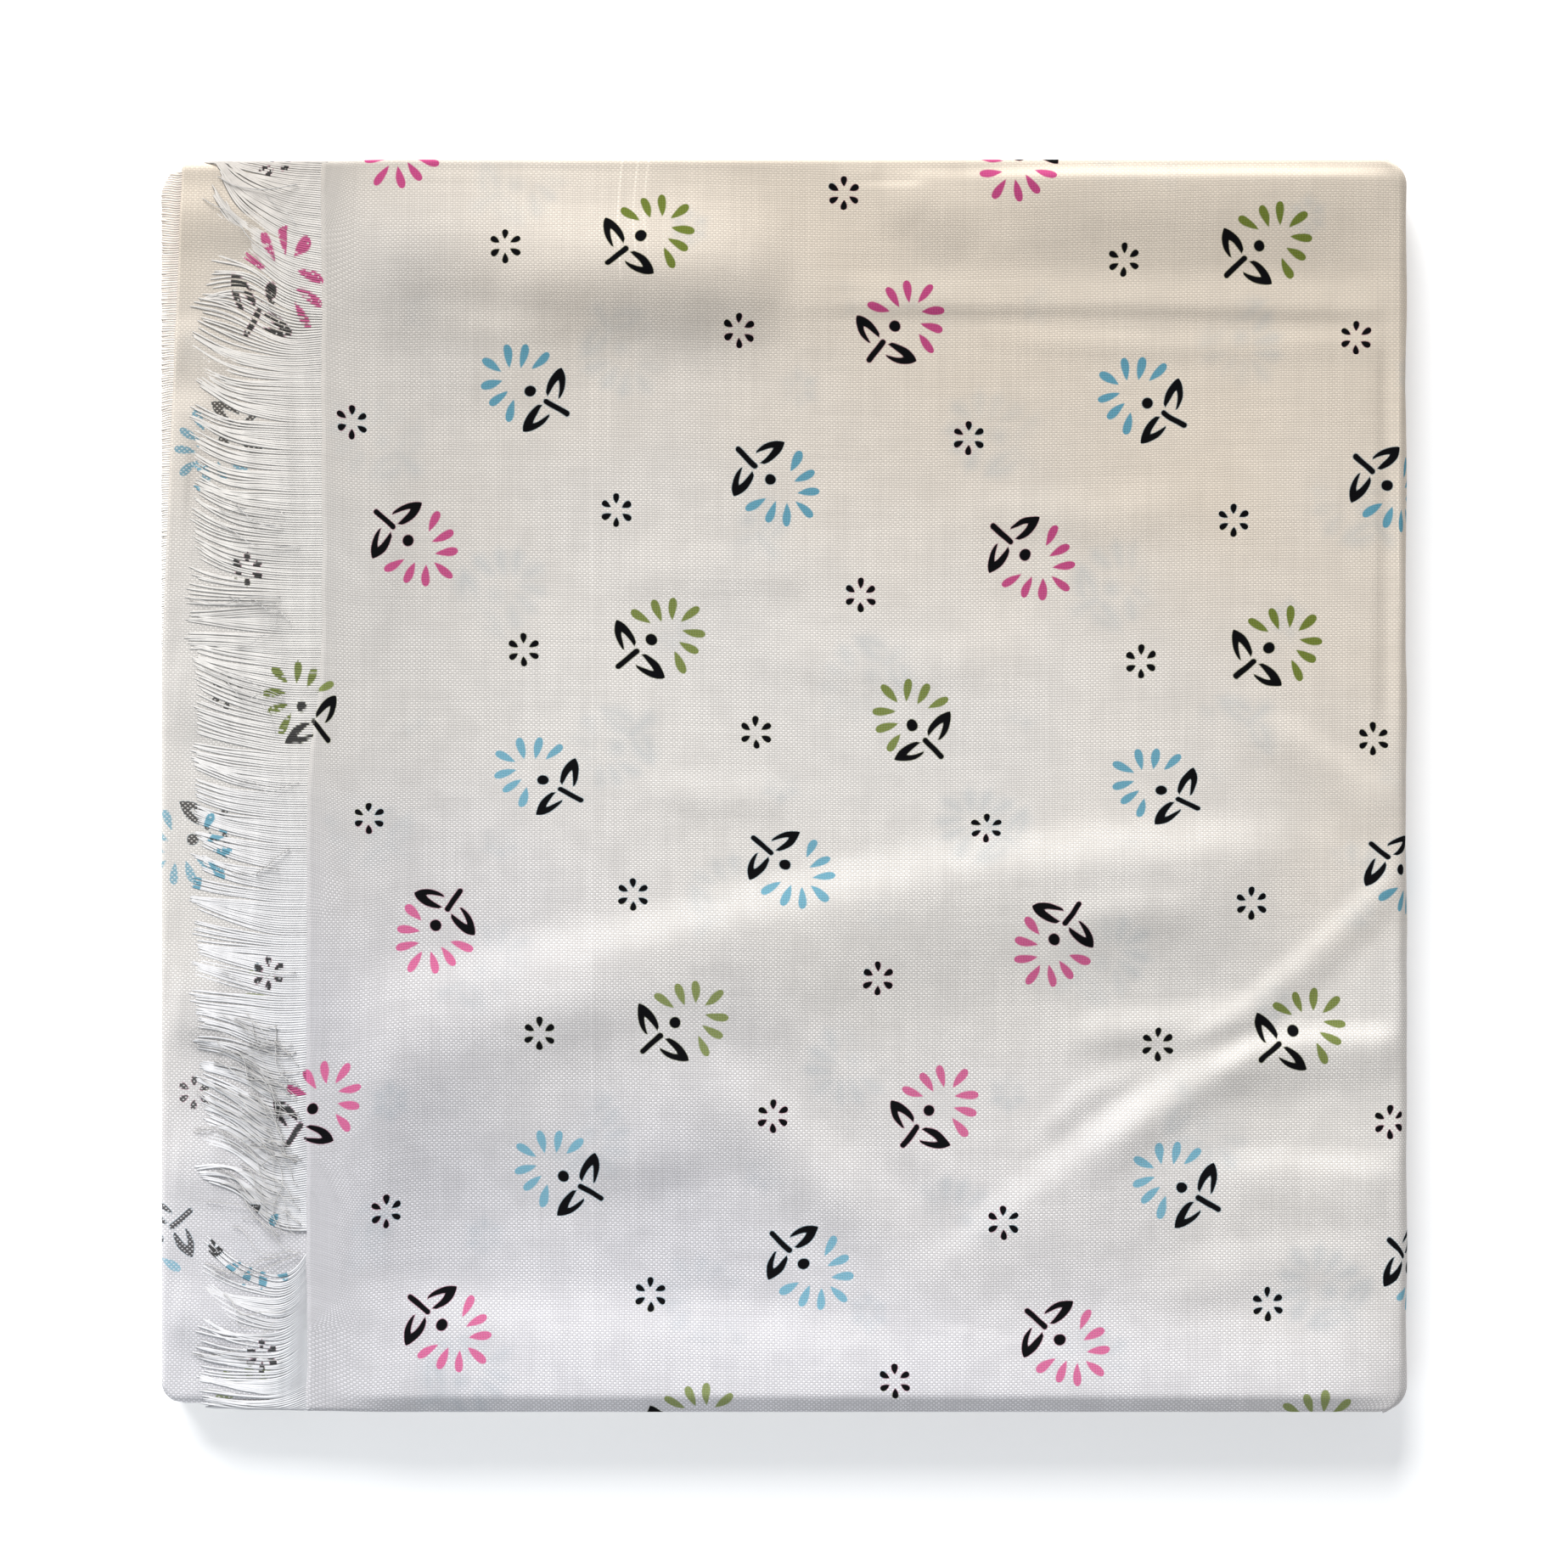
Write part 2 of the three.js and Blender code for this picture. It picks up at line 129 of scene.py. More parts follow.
# Soft folds of the top cloth. Each ridge follows a line; it falls away over `left` on the
# line's left-hand side and over `right` on the other, and fades in and out over `fade`.
MAIN_RIDGE = [(-108, -54.5), (-70, -47.5), (-34, -39.5), (-5, -32.5), (37, -23), (75, -19),
              (100, -18), (126, -16)]
DIAGONAL = [(26, -123), (42, -111), (56, -100), (82, -80.5), (104, -65.5)]
FOLDS = rows_of("line rise left right fade", [
    (MAIN_RIDGE, 1.55, 12.5, 34, 30),
    (MAIN_RIDGE, 1.2, 95, 56, 50),
    ([(-109, -64), (-70, -57), (-34, -49)], 0.95, 14, 20, 18),
    (DIAGONAL, 0.8, 9, 34, 30),
    (DIAGONAL, 0.6, 40, 60, 46),
    ([(66, -92), (84, -79), (104, -65.5), (118, -61)], 0.9, 8, 9, 18),
    ([(98, -70), (110, -63), (126, -60.5), (150, -60)], 1.2, 5, 14, 9),
    ([(64, -60), (80, -58), (96, -56.5), (114, -52)], 0.65, 7, 7, 12),
    ([(90, -64), (108, -54), (126, -39), (150, -16)], 0.65, 5, 8, 10),
    ([(58, -84), (70, -73), (84, -67)], 0.35, 4, 5, 9),
    ([(96, -93), (118, -91.5), (150, -94)], 0.9, 8, 24, 14),
    ([(84, -121), (118, -112), (150, -114)], 0.45, 10, 9, 18),
    ([(60, -33), (84, -29), (100, -30)], 0.5, 7, 10, 10),
    ([(108, 18), (124, 8), (138, -2), (150, -9)], 0.5, 6, 12, 14),
    ([(-113, 127), (-60, 126), (-20, 123), (5, 121)], 2.3, 24, 27, 28),
    ([(-70, 119), (-34, 119), (3, 117.5)], 1.2, 20, 17, 13),
    ([(-90, 108), (-64, 105), (-42, 104)], 0.7, 9, 22, 20),
    ([(34, 142), (70, 143), (120, 143), (152, 143)], 2.1, 5, 29, 30),
    ([(20, 143), (34, 137), (46, 126)], 0.9, 12, 12, 14),
    ([(0, 113), (60, 113.5), (150, 112)], 0.5, 10, 3.4, 30),
    ([(40, 106), (90, 103), (150, 105)], 0.18, 4, 5, 22),
    ([(142, 112), (142.4, 60), (141.5, 4)], -0.8, 5, 3.4, 20),
    ([(-113, -147), (-30, -147.2), (60, -147), (149, -146.6)], 1.8, 27, 2.4, 26),
    ([(-113, -112), (-60, -116), (-10, -119), (30, -126)], -1.3, 52, 14, 34),
    ([(-106, -76), (-66, -76), (-40, -78), (-16, -74)], 0.9, 20, 27, 14),
    ([(-58, -92), (-32, -88), (-8, -82)], 0.4, 12, 10, 16),
    ([(-28, -62), (-2, -84), (26, -108)], 1.2, 13, 14, 20),
    ([(-2, -52), (24, -78), (48, -104)], 0.4, 7, 8, 20),
    ([(-45.5, -14), (-45, -80), (-45.6, -146)], 0.1, 1.2, 1.8, 12),
    ([(-46, 48), (0, 50), (14, 50)], 0.25, 12, 7, 16),
    ([(-12, 32), (20, 27), (60, 30)], 0.25, 10, 8, 20),
    ([(-34, 0), (-16, -3), (4, -2)], 0.35, 6, 7, 9),
    ([(-103, 100), (-96, 60), (-100, 20)], 0.4, 9, 12, 24),
    ([(40, 64), (74, 63), (100, 66)], 0.3, 9, 9, 18),
])
UNDER_FOLDS = rows_of("line rise left right fade", [
    ([(-150, 134), (-136, 135), (-122, 133)], 0.8, 9, 12, 6),
    ([(-150, 104), (-140, 106), (-128, 100)], 0.6, 7, 12, 6),
    ([(-150, 84), (-140, 86), (-134, 84)], 0.8, 10, 30, 6),
    ([(-149, 26), (-140, 20), (-132, 14)], 0.55, 12, 9, 6),
    ([(-149, -54), (-140, -55), (-130, -56)], 0.9, 24, 9, 6),
    ([(-149, -88), (-138, -90), (-130, -90)], 0.6, 12, 14, 6),
    ([(-149, -124), (-138, -126), (-128, -130)], 0.6, 10, 10, 6),
])
CRUMPLE = 0.10  # height of the shallow unevenness all over
TAKEN_UP = 4.4  # length of cloth that the main ridge takes up along Y
WEFT_BOW = 1.3  # how far the threads along X bow towards -Y at their middle

# How the drawn threads of the top end lie, by where their roots are along Y: the way that
# they run in degrees, towards +Y as they go to -X, at the root, half way and at the tip,
# the share of the full length that they keep, how much their locks stray from each other,
# and how far each lock's threads gather towards its middle.
LIE = rows_of("y ways keep stray gather", [
    (-152, (-4, 0, 4), 0.95, 0.6, 0.3),
    (-143, (-24, 0, 8), 0.95, 1.0, 0.5),
    (-134, (-44, 2, 12), 1.02, 0.9, 0.2),
    (-124, (-52, 6, 22), 1.08, 1.0, 0.25),
    (-115, (-56, 12, 32), 1.1, 1.1, 0.25),
    (-108, (-58, 16, 36), 1.1, 1.0, 0.25),
    (-106.5, (-8, 40, 20), 0.8, 1.6, 0.7),
    (-104, (2, 48, 4), 1.06, 0.4, 0.7),
    (-97, (-8, 44, 2), 1.06, 0.4, 0.7),
    (-91, (-10, 40, 14), 1.02, 0.9, 0.35),
    (-84, (-12, 38, 24), 1.02, 1.2, 0.3),
    (-74, (-10, 32, 18), 1.0, 1.3, 0.4),
    (-66, (-8, 24, 6), 0.99, 1.0, 0.4),
    (-58, (-5, 14, 8), 0.99, 0.8, 0.2),
    (-48, (-2, 10, 14), 1.0, 0.6, 0.12),
    (-20, (0, 8, 18), 1.0, 0.6, 0.12),
    (27, (0, 9, 20), 1.0, 0.6, 0.12),
    (33, (0, 3, 6), 1.03, 0.5, 0.12),
    (42, (0, 2, 10), 1.03, 0.6, 0.14),
    (52, (0, 5, 26), 1.02, 0.7, 0.16),
    (68, (0, 6, 32), 1.02, 0.8, 0.18),
    (82, (0, 5, 28), 1.02, 0.8, 0.16),
    (94, (0, 6, 30), 1.0, 0.8, 0.2),
    (101, (-4, 12, 28), 1.0, 0.8, 0.3),
    (106, (-6, 30, 6), 1.0, 0.8, 0.2),
    (112, (4, 36, -16), 0.97, 1.0, 0.2),
    (117, (10, 36, 30), 0.95, 1.0, 0.2),
    (121, (10, 34, 62), 1.0, 0.5, 0.25),
    (130, (8, 30, 60), 1.0, 0.5, 0.2),
    (138, (6, 22, 45), 1.0, 0.5, 0.15),
    (144, (3, 12, 25), 1.0, 0.6, 0.1),
    (152, (0, 4, 8), 1.0, 0.6, 0.1),
])
PARTING = (-107.6, -105.0)  # between these roots nearly all the threads are gone
# How far the print has moved with the top end's loose threads, by where they lie along Y.
PULLED = [(-150, (-4, 6)), (-128, (-4, 6)), (-121, (13.6, 5.8)), (-98, (13.6, 5.8)), (-90, (0, 0.4)),
          (-68, (0, 0.4)), (-56, (1.6, 1.8)), (-32, (1.6, 1.8)), (-20, (3, 6.4)), (-8, (3, 6.4)),
          (5, (1.8, 1)), (30, (1.5, 0.7)), (44, (0.6, 2.6)), (70, (0.6, 2.6)), (98, (-1, 3)),
          (109, (-2, 3)), (116, (-2, 4.7)), (131, (-2, 10)), (147, (12, 3.6))]

# ---- The print: flowers on a slanting lattice, ten in turn, and a daisy beside each ----
PRINT_ORIGIN = (-33.6, 130.3)
PRINT_A = (58.96, -19.84)
PRINT_B = (-27.48, -37.38)
PINK = (0.56, 0.065, 0.225)
BLUE = (0.125, 0.37, 0.49)
GREEN = (0.17, 0.22, 0.03)
BLACK = (0.005, 0.005, 0.006)
FLOWERS = rows_of("ink stem eye fan", [
    # the stem's direction in degrees, the eye's place beside the lattice point, and the
    # petals' centre from the eye, forward and sideways
    (GREEN, 221, (-0.2, -1.2), (2.6, -1.4)),
    (PINK, 233, (0.6, -1.4), (2.3, -1.2)),
    (BLUE, -31, (1.0, -0.4), (2.6, -0.6)),
    (BLUE, 137, (-1.4, -0.4), (2.6, 0.4)),
    (PINK, 138, (-0.2, 1.8), (2.6, 0.4)),
    (GREEN, 220.5, (-1.8, -1.2), (2.6, -1.4)),
    (GREEN, -48, (0.6, -0.8), (0.9, -1.0)),
    (BLUE, -31, (0.2, 1.8), (2.6, -0.6)),
    (BLUE, 137, (-1.8, -0.4), (2.6, 0.4)),
    (PINK, 55, (2.4, 1.4), (1.4, 0.8)),
])
DAISIES = [(22.8, -22.8), (18.0, -27.8), (21.4, -28.2), (20.0, -27.4), (27.0, -23.8)]
# Petals of one half of a flower: forward and sideways from the fan's centre, and lean.
PETALS = [(8.1, 0.0, 0), (5.96, 3.74, 49), (2.82, 5.68, 69.5), (-1.1, 6.92, 106)]
PETAL_SIZE = (5.4, 1.0)
DAISY_PETALS = [(0.0, 2.8, 90), (2.35, 1.35, 30)]
DAISY_PETAL_SIZE = (2.4, 0.74)
EYE_RADIUS = 1.34
STEM = {"from": -4.7, "to": -10.1, "radius": 0.68}
LEAF = {"base": (-5.2, 2.2), "tip": (-3.5, 8.8), "half": 2.08, "narrowed": 0.3,
        "notch": 1.14, "notch_to": 0.54}
# Thin light lines along Y, painted highlights along a crease at x -45.5 and a fold's crest at x 144.6,
# the others where the cloth's threads stand apart: place, bow and ends, and strength.
LADDERS_AND_CREASE_HIGHLIGHTS = rows_of("x bow low high light", [
    (-38.6, 1.2, 116, 150, 0.30),
    (-34.8, 1.6, 118, 150, 0.26),
    (-32.2, 1.8, 121, 150, 0.20),
    (-45.5, 0.0, -150, 118, 0.10),
    (-41.6, 0.0, -20, 112, 0.06),
    (144.6, 0.0, 40, 146, 0.16),
])
LADDER_HALF = 0.34
TABLE_SPAN = 8.0  # widest value that a table of places can hold

# The second end shows the wrong side of the cloth: its print is mirrored and a little turned.
UNDER_PRINT = {"from": (-139.9, -12.7), "to": (0.1, -21.9), "turn": -2.4}

# Tones of the cloth and its loose threads, far end, middle and near end: the middle is their own
# off-white; the warm, dim far end is painted shade and the cool, bright near end painted light. The
# loose threads' tones are also set lighter than the cloth's, painted light against the shade between
# them.
CLOTH_TONES_WITH_PAINTED_LIGHT = [(0.640, 0.562, 0.470), (0.655, 0.625, 0.592), (0.625, 0.612, 0.636)]
LOOSE_TONES_WITH_PAINTED_LIGHT = [(0.77, 0.69, 0.615), (0.84, 0.81, 0.77), (0.87, 0.865, 0.885)]
GHOST_INK = (0.27, 0.35, 0.4)  # the print of the layers beneath, as it shows through
GHOST_SHIFT = (17, 46, 0)  # and how far it lies from the mirrored print of the top layer
FLOOR = (0.93, 0.93, 0.93)
FLOOR_GLOW = 0.26  # light from below, as in a light tent, which keeps the pack's shadow faint


def smooth(t):
    t = np.clip(t, 0, 1)
    return t * t * (3 - 2 * t)


# ---- Shape of the top cloth ----
def ridge(x, y, fold):
    """Height of one fold at the points (x, y)."""
    line = np.array(fold["line"], float)
    lengths = np.hypot(*(line[1:] - line[:-1]).T)
    starts = np.concatenate([[0], np.cumsum(lengths)])
    nearest = np.full(x.shape, np.inf)
    side = np.zeros(x.shape)
    along = np.zeros(x.shape)
    for (ax, ay), (bx, by), start, length in zip(line[:-1], line[1:], starts, lengths):
        dx, dy = (bx - ax) / length, (by - ay) / length
        t = np.clip((x - ax) * dx + (y - ay) * dy, 0, length)
        away = np.hypot(x - ax - t * dx, y - ay - t * dy)
        closer = away < nearest
        nearest = np.where(closer, away, nearest)
        side = np.where(closer, dx * (y - ay) - dy * (x - ax), side)
        along = np.where(closer, start + t, along)
    width = np.where(side > 0, fold["left"], fold["right"])
    across = 0.5 + 0.5 * np.cos(np.pi * np.clip(nearest / width, 0, 1))
    ends = smooth(along / fold["fade"]) * smooth((starts[-1] - along) / fold["fade"])
    return fold["rise"] * across * (0.15 + 0.85 * ends)


def crumple(x, y):
    """Shallow unevenness of the lying cloth."""
    return np.array([noise.noise((px * 0.035, py * 0.05, 3.1)) * 0.7
                     + noise.noise((px * 0.11, py * 0.13, 8.2)) * 0.3 for px, py in zip(x, y)])


def edge_x(y):
    """Where the top cloth's weave ends: more of its cross threads are left in towards -Y."""
    return EDGE_NEAR + (EDGE_FAR - EDGE_NEAR) * smooth((y - STEP_LOW) / (STEP_HIGH - STEP_LOW))


def fold_height(x, y):
    height = sum(ridge(x, y, fold) for fold in FOLDS)
    height += CRUMPLE * crumple(x, y)
    at_root = smooth((x - TOP_LEFT + 2) / 22)
    at_side = smooth((PACK_HIGH[0] - x) / 9) * smooth((PACK_HIGH[1] - np.abs(y)) / 4.5)
    return height * (0.25 + 0.75 * at_root) * at_side


def cloth_y(x, y):
    """Where a point lies along Y on the cloth laid out flat."""
    past = 1 - smooth((y + 27) / 40)
    bow = WEFT_BOW * (np.exp(-((x - 31) / 62) ** 2) - 0.35)
    return y - TAKEN_UP * past * smooth((x + 125) / 45) + bow


def print_place(x, y):
    """The place on the flat, printed cloth that lies at (x, y) on the top end."""
    rows = [row for row, _ in PULLED]
    fade = 1 - smooth((x + 118) / 20)
    pull_x = np.interp(y, rows, [pull[0] for _, pull in PULLED]) * fade
    pull_y = np.interp(y, rows, [pull[1] for _, pull in PULLED]) * fade
    return x - pull_x, cloth_y(x, y) - pull_y


# ---- Mesh helpers ----
def new_object(name, bm, material):
    """The finished mesh as an object at the origin."""
    mesh = bpy.data.meshes.new(name)
    bm.to_mesh(mesh)
    bm.free()
    mesh.materials.append(material)
    made = bpy.data.objects.new(name, mesh)
    bpy.context.scene.collection.objects.link(made)
    return made


def new_piece(name, bm, material):
    """A smooth piece of the pack, riding on it."""
    piece = new_object(name, bm, material)
    piece.data.shade_smooth()
    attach(piece, BODY)
    return piece


def coordinates(mesh):
    values = np.empty(len(mesh.vertices) * 3)
    mesh.vertices.foreach_get("co", values)
    return values.reshape(-1, 3)


def place(mesh, points):
    """Moves the vertices to points in millimetres."""
    mesh.vertices.foreach_set("co", (points * MM).ravel())
    mesh.update()


def lay_print(mesh, u, v):
    """Writes each vertex's place on the flat cloth, in millimetres, to the UV map in metres."""
    layer = mesh.uv_layers.get("cloth") or mesh.uv_layers.new(name="cloth")
    corners = np.empty(len(mesh.loops), int)
    mesh.loops.foreach_get("vertex_index", corners)
    layer.data.foreach_set("uv", (np.stack([u[corners], v[corners]], 1) * MM).ravel())


def thicken(piece, wall, shares):
    """Gives a sheet its wall, on its inner side, and each vertex its share of it."""
    group = piece.vertex_groups.new(name="wall")
    for vertex, share in enumerate(shares):
        group.add([vertex], float(share), "REPLACE")
    solid = piece.modifiers.new("wall", "SOLIDIFY")
    solid.thickness = wall * MM
    solid.offset = -1
    solid.vertex_group = group.name


def grid(columns, rows):
    bm = bmesh.new()
    bmesh.ops.create_grid(bm, x_segments=columns, y_segments=rows, size=1.0)
    return bm


# ---- Top cloth ----
def top_cloth(material):
    """The top end: flat with soft folds, rolled over at both long edges, and round the
    pack's right side in one turn."""
    turn_x, turn_z = 3.4, FACE / 2 - 0.1
    turn_angle = math.radians(168)
    turn_length = turn_angle * (turn_x + turn_z) / 2
    roll, roll_angle = 0.85, math.radians(200)
    roll_length = roll * roll_angle
    flat_end = PACK_HIGH[0] - turn_x
    edge = PACK_HIGH[1] - roll

    piece = new_piece("top_cloth", grid(230, 210), material)
    mesh = piece.data
    a, b, _ = coordinates(mesh).T
    length_x = flat_end - TOP_LEFT + turn_length
    half_y = edge + roll_length
    station_y = edges_closer(b) * half_y
    ragged = np.array([noise.noise((py * 0.12, 0.4, 5.5)) for py in station_y])
    drawn_edge = edge_x(station_y) + 0.35 * ragged
    station_x = drawn_edge + (a + 1) / 2 * (TOP_LEFT + length_x - drawn_edge)

    angle = np.clip((station_x - flat_end) / turn_length, 0, 1) * turn_angle
    past_edge = np.clip(np.abs(station_y) - edge, 0, None)
    bend = past_edge / roll
    x = np.minimum(station_x, flat_end) + turn_x * np.sin(angle)
    y = np.sign(station_y) * (np.minimum(np.abs(station_y), edge) + roll * np.sin(bend))
    z = FACE - turn_z + turn_z * np.cos(angle)
    lift = fold_height(x, y) * (angle == 0) - roll * (1 - np.cos(bend))
    x += lift * np.sin(angle)
    z += lift * np.cos(angle)
    # Round the corner, seen from above.
    from_side = np.clip(CORNER - (PACK_HIGH[1] - np.abs(y)), 0, CORNER)
    inset = CORNER - np.sqrt(CORNER ** 2 - from_side ** 2)
    x -= inset * smooth((x - PACK_HIGH[0] + 16) / 14)
    wave = np.array([noise.noise((py * 0.05, pz * 0.3, 1.7)) for py, pz in zip(y, z)])
    x += 0.5 * wave * np.sin(angle) - 0.5 * np.sin(angle)
    near_edge = 1 - smooth((station_x - drawn_edge) / 20)
    z -= EDGE_SINK * near_edge

    place(mesh, np.stack([x, y, z], 1))
    lay_print(mesh, *print_place(station_x, station_y))
    thicken(piece, PLY, 1 - 0.95 * near_edge ** 3)
    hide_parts("top_layer")
    return piece, (length_x, 2 * half_y)


# ---- Second end ----
def corner_inset(y, high_radius=FAR_CORNER):
    """How far the pack's rounded corners draw its left side in at y."""
    radius = np.where(y > 0, high_radius, CORNER)
    edge = np.where(y > 0, UNDER_FAR, UNDER_NEAR)
    short = np.clip(radius - (edge - np.abs(y)), 0, radius)
    return radius - np.sqrt(radius ** 2 - short ** 2)


def under_root(y):
    """Where the second end's threads leave its weave: on a slant, further out towards -Y."""
    slant = np.clip((y - SLANT_LOW) / (UNDER_FAR - SLANT_LOW), 0, 1)
    return PACK_LOW[0] + 0.7 + 5.0 * slant


def under_place(x, y):
    """The place on the flat, mirrored print that lies at (x, y) on the second end."""
    turn = math.radians(UNDER_PRINT["turn"])
    from_x, from_y = UNDER_PRINT["from"]
    to_x, to_y = UNDER_PRINT["to"]
    dx, dy = -(x - from_x), y - from_y
    cos, sin = math.cos(turn), math.sin(turn)
    return to_x + dx * cos - dy * sin, to_y + dx * sin + dy * cos


def edges_closer(t):
    """Spreads stations from -1 to 1 so that they are closer together near both ends."""
    return t * (1 + 0.3 * (1 - t * t))


def under_level(x, y):
    """Level of the second end's upper side."""
    from_right = UNDER_HIGH[0] - x
    from_side = np.where(y > 0, UNDER_FAR, UNDER_NEAR) - np.abs(y)
    from_left = x - PACK_LOW[0] - corner_inset(y)
    edge = np.minimum(np.minimum(from_right, from_side), from_left)
    short = np.clip(UNDER_ROLL - edge, 0, UNDER_ROLL)
    drop = UNDER_ROLL - np.sqrt(UNDER_ROLL ** 2 - (0.93 * short) ** 2)
    shown = smooth((-104 - x) / 6)  # only the part past the top cloth's edge is free to rise
    level = UNDER_HIGH[2] - drop + 0.12 * crumple(x * 1.4, y * 1.4) * smooth(edge / 8)
    return level + sum(ridge(x, y, fold) for fold in UNDER_FOLDS) * smooth((edge - 0.5) / 5) * shown


def under_cloth(material):
    """The second end, which shows along the left side."""
    piece = new_piece("under_cloth", grid(170, 170), material)
    mesh = piece.data
    a, b, _ = coordinates(mesh).T
    y = (UNDER_FAR - UNDER_NEAR) / 2 + edges_closer(b) * (UNDER_FAR + UNDER_NEAR) / 2
    x_low = np.maximum(under_root(y), PACK_LOW[0] + 0.45 + corner_inset(y))
    right_inset = corner_inset(y, CORNER)
    x = x_low + (edges_closer(a) + 1) / 2 * (UNDER_HIGH[0] - right_inset - x_low)
    z = under_level(x, y)
    place(mesh, np.stack([x, y, z], 1))
    lay_print(mesh, *under_place(x, y))
    thicken(piece, UNDER_PLY, 0.15 + 0.85 * smooth((x - x_low) / 5))
    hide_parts("under_layer")
    return piece, (float(UNDER_HIGH[0] - under_root(0.0)), UNDER_FAR + UNDER_NEAR)


# ---- Hidden layers ----
def outline(count):
    """Points and outward directions round the pack, evenly spaced."""
    half_x, half_y = PACK_HIGH[0] - CORNER, PACK_HIGH[1] - CORNER
    arc = CORNER * math.pi / 2
    lengths = [2 * half_y, arc, 2 * half_x, arc] * 2
    corners = [(half_x, half_y), (-half_x, half_y), (-half_x, -half_y), (half_x, -half_y)]
    total = sum(lengths)
    places = []
    for k in range(count):
        s = k / count * total
        part = 0
        while s > lengths[part]:
            s -= lengths[part]
            part += 1
        corner = corners[part // 2]
        start = (part // 2) * math.pi / 2
        if part % 2 == 1:
            turn = start + s / CORNER
            nx, ny = math.cos(turn), math.sin(turn)
            places.append((corner[0] + CORNER * nx, corner[1] + CORNER * ny, nx, ny))
        else:
            nx, ny = math.cos(start), math.sin(start)
            before = corners[(part // 2 - 1) % 4]
            t = s / lengths[part]
            px = before[0] + (corner[0] - before[0]) * t + CORNER * nx
            py = before[1] + (corner[1] - before[1]) * t + CORNER * ny
            places.append((px, py, nx, ny))
    return np.array(places), total


def round_fold(low, high, place):
    """How far a round fold from low to high stands back at a place, as a share of its depth."""
    t = (2 * place - low - high) / (high - low)
    return 1 - math.sqrt(max(0, 1 - t * t))


def ply_inset(step, where, number):
    """How far the edge of one folded set stands back at a share `step` of its height: a
    fold over two plies, and the single edge of the third above it."""
    fold_share = 0.66
    uneven = np.array([noise.noise((w * 0.016, number * 7.3, 0.5)) for w in where])
    ripple = np.array([noise.noise((w * 0.08, number * 3.1, 4.5)) for w in where])
    if step < fold_share:
        return 0.55 + 0.5 * round_fold(0, fold_share, step) + 0.7 * uneven + 0.15 * ripple
    return 1.35 + 0.35 * round_fold(fold_share, 1, step) + np.abs(uneven) + 0.25 * ripple


def turn_inset(z, turns):
    """How far the cloth's turns, from their low to their high level, stand back at z."""
    for low, high, back, depth in turns:
        if z <= high:
            return back + depth * round_fold(low, high, z)
    return back + depth


def hidden_layers(material):
    """The layers between the two ends and the underside, as one body with layered edges."""
    count = 420
    steps = [0.02, 0.1, 0.25, 0.42, 0.56, 0.64, 0.7, 0.8, 0.92, 0.98]
    left_turns = [(0, 6.2, 1.6, 1.8), (6.2, LAYERS_TOP, 2.0, 1.1)]
    right_turns = [(-1.2, 11.2, 2.2, 3.2)]
    places, total = outline(count)
    px, py, nx, ny = places.T
    where = np.arange(count) / count * total

    rings = []
    heights = [(number + step) * LAYERS_TOP / SETS for number in range(SETS) for step in steps]
    for z in [0.0, *heights, LAYERS_TOP]:
        number = min(int(z / LAYERS_TOP * SETS), SETS - 1)
        step = z / LAYERS_TOP * SETS - number
        side = ply_inset(step, where, number)
        across = np.where(nx > 0, turn_inset(z, right_turns), turn_inset(z, left_turns))
        across = across + 0.12 * side
        slack = np.where((nx < 0) & (ny > 0), 1.4, 0.4) * (2 * nx * ny) ** 2
        near = np.where(ny < 0, smooth((-px - 80) / 30), 0.0)
        inset = nx ** 2 * across + ny ** 2 * (side + near) + slack
        rings.append(np.stack([px - nx * inset, py - ny * inset, np.full(count, z)], 1))

    # A sheet with a row of points for each ring, closed to a tube and then at both ends.
    bm = grid(count, len(rings) - 1)
    at = {v: (round((v.co.x + 1) / 2 * count), round((v.co.y + 1) / 2 * (len(rings) - 1)))
          for v in bm.verts}
    climbs = [np.mean(np.linalg.norm(b - a, axis=1)) for a, b in zip(rings[:-1], rings[1:])]
    heights_along = np.concatenate([[0], np.cumsum(climbs)])
    uv = bm.loops.layers.uv.new("cloth")
    for face in bm.faces:
        upper = max(at[vertex][1] for vertex in face.verts)
        shift = 41.0 * ((upper + 3) // len(steps))  # each set shows another part of the print
        for corner in face.loops:
            k, ring = at[corner.vert]
            v = heights_along[upper] + shift - (0.2 if ring < upper else 0.0)
            corner[uv].uv = (k / count * total * MM, v * MM)
    for vertex, (k, ring) in at.items():
        vertex.co = Vector(rings[ring][k % count]) * MM
    bmesh.ops.remove_doubles(bm, verts=bm.verts[:], dist=1e-7)
    ends = bmesh.ops.holes_fill(bm, edges=bm.edges[:], sides=0)["faces"]
    for corner in min(ends, key=lambda face: face.calc_center_median().z).loops:
        corner[uv].uv = (0, 0)  # the underside shows one plain place of the cloth
    bmesh.ops.recalc_face_normals(bm, faces=bm.faces[:])
    piece = new_piece("hidden_layers", bm, material)
    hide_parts("folded_layers")


# ---- Threads ----
def tubes(count, segments, sides):
    """A bmesh of count straight tubes of unit length and radius, and for each vertex its
    tube's number, its share of the length, and its direction round the tube."""
    bm = bmesh.new()
    bmesh.ops.create_cone(bm, cap_ends=True, segments=sides, radius1=1, radius2=1, depth=1)
    long_edges = [e for e in bm.edges if abs(e.verts[0].co.z - e.verts[1].co.z) > 0.5]
    bmesh.ops.subdivide_edges(bm, edges=long_edges, cuts=segments - 1, use_grid_fill=True)
    one = bm.verts[:] + bm.edges[:] + bm.faces[:]
    for number in range(1, count):
        copy = bmesh.ops.duplicate(bm, geom=one)["geom"]
        verts = [v for v in copy if isinstance(v, bmesh.types.BMVert)]
        bmesh.ops.translate(bm, verts=verts, vec=(4.0 * number, 0, 0))
    points = np.array([v.co[:] for v in bm.verts])
    number = np.round(points[:, 0] / 4).astype(int)
    around = np.arctan2(points[:, 1], points[:, 0] - 4 * number)
    return bm, number, points[:, 2] + 0.5, around


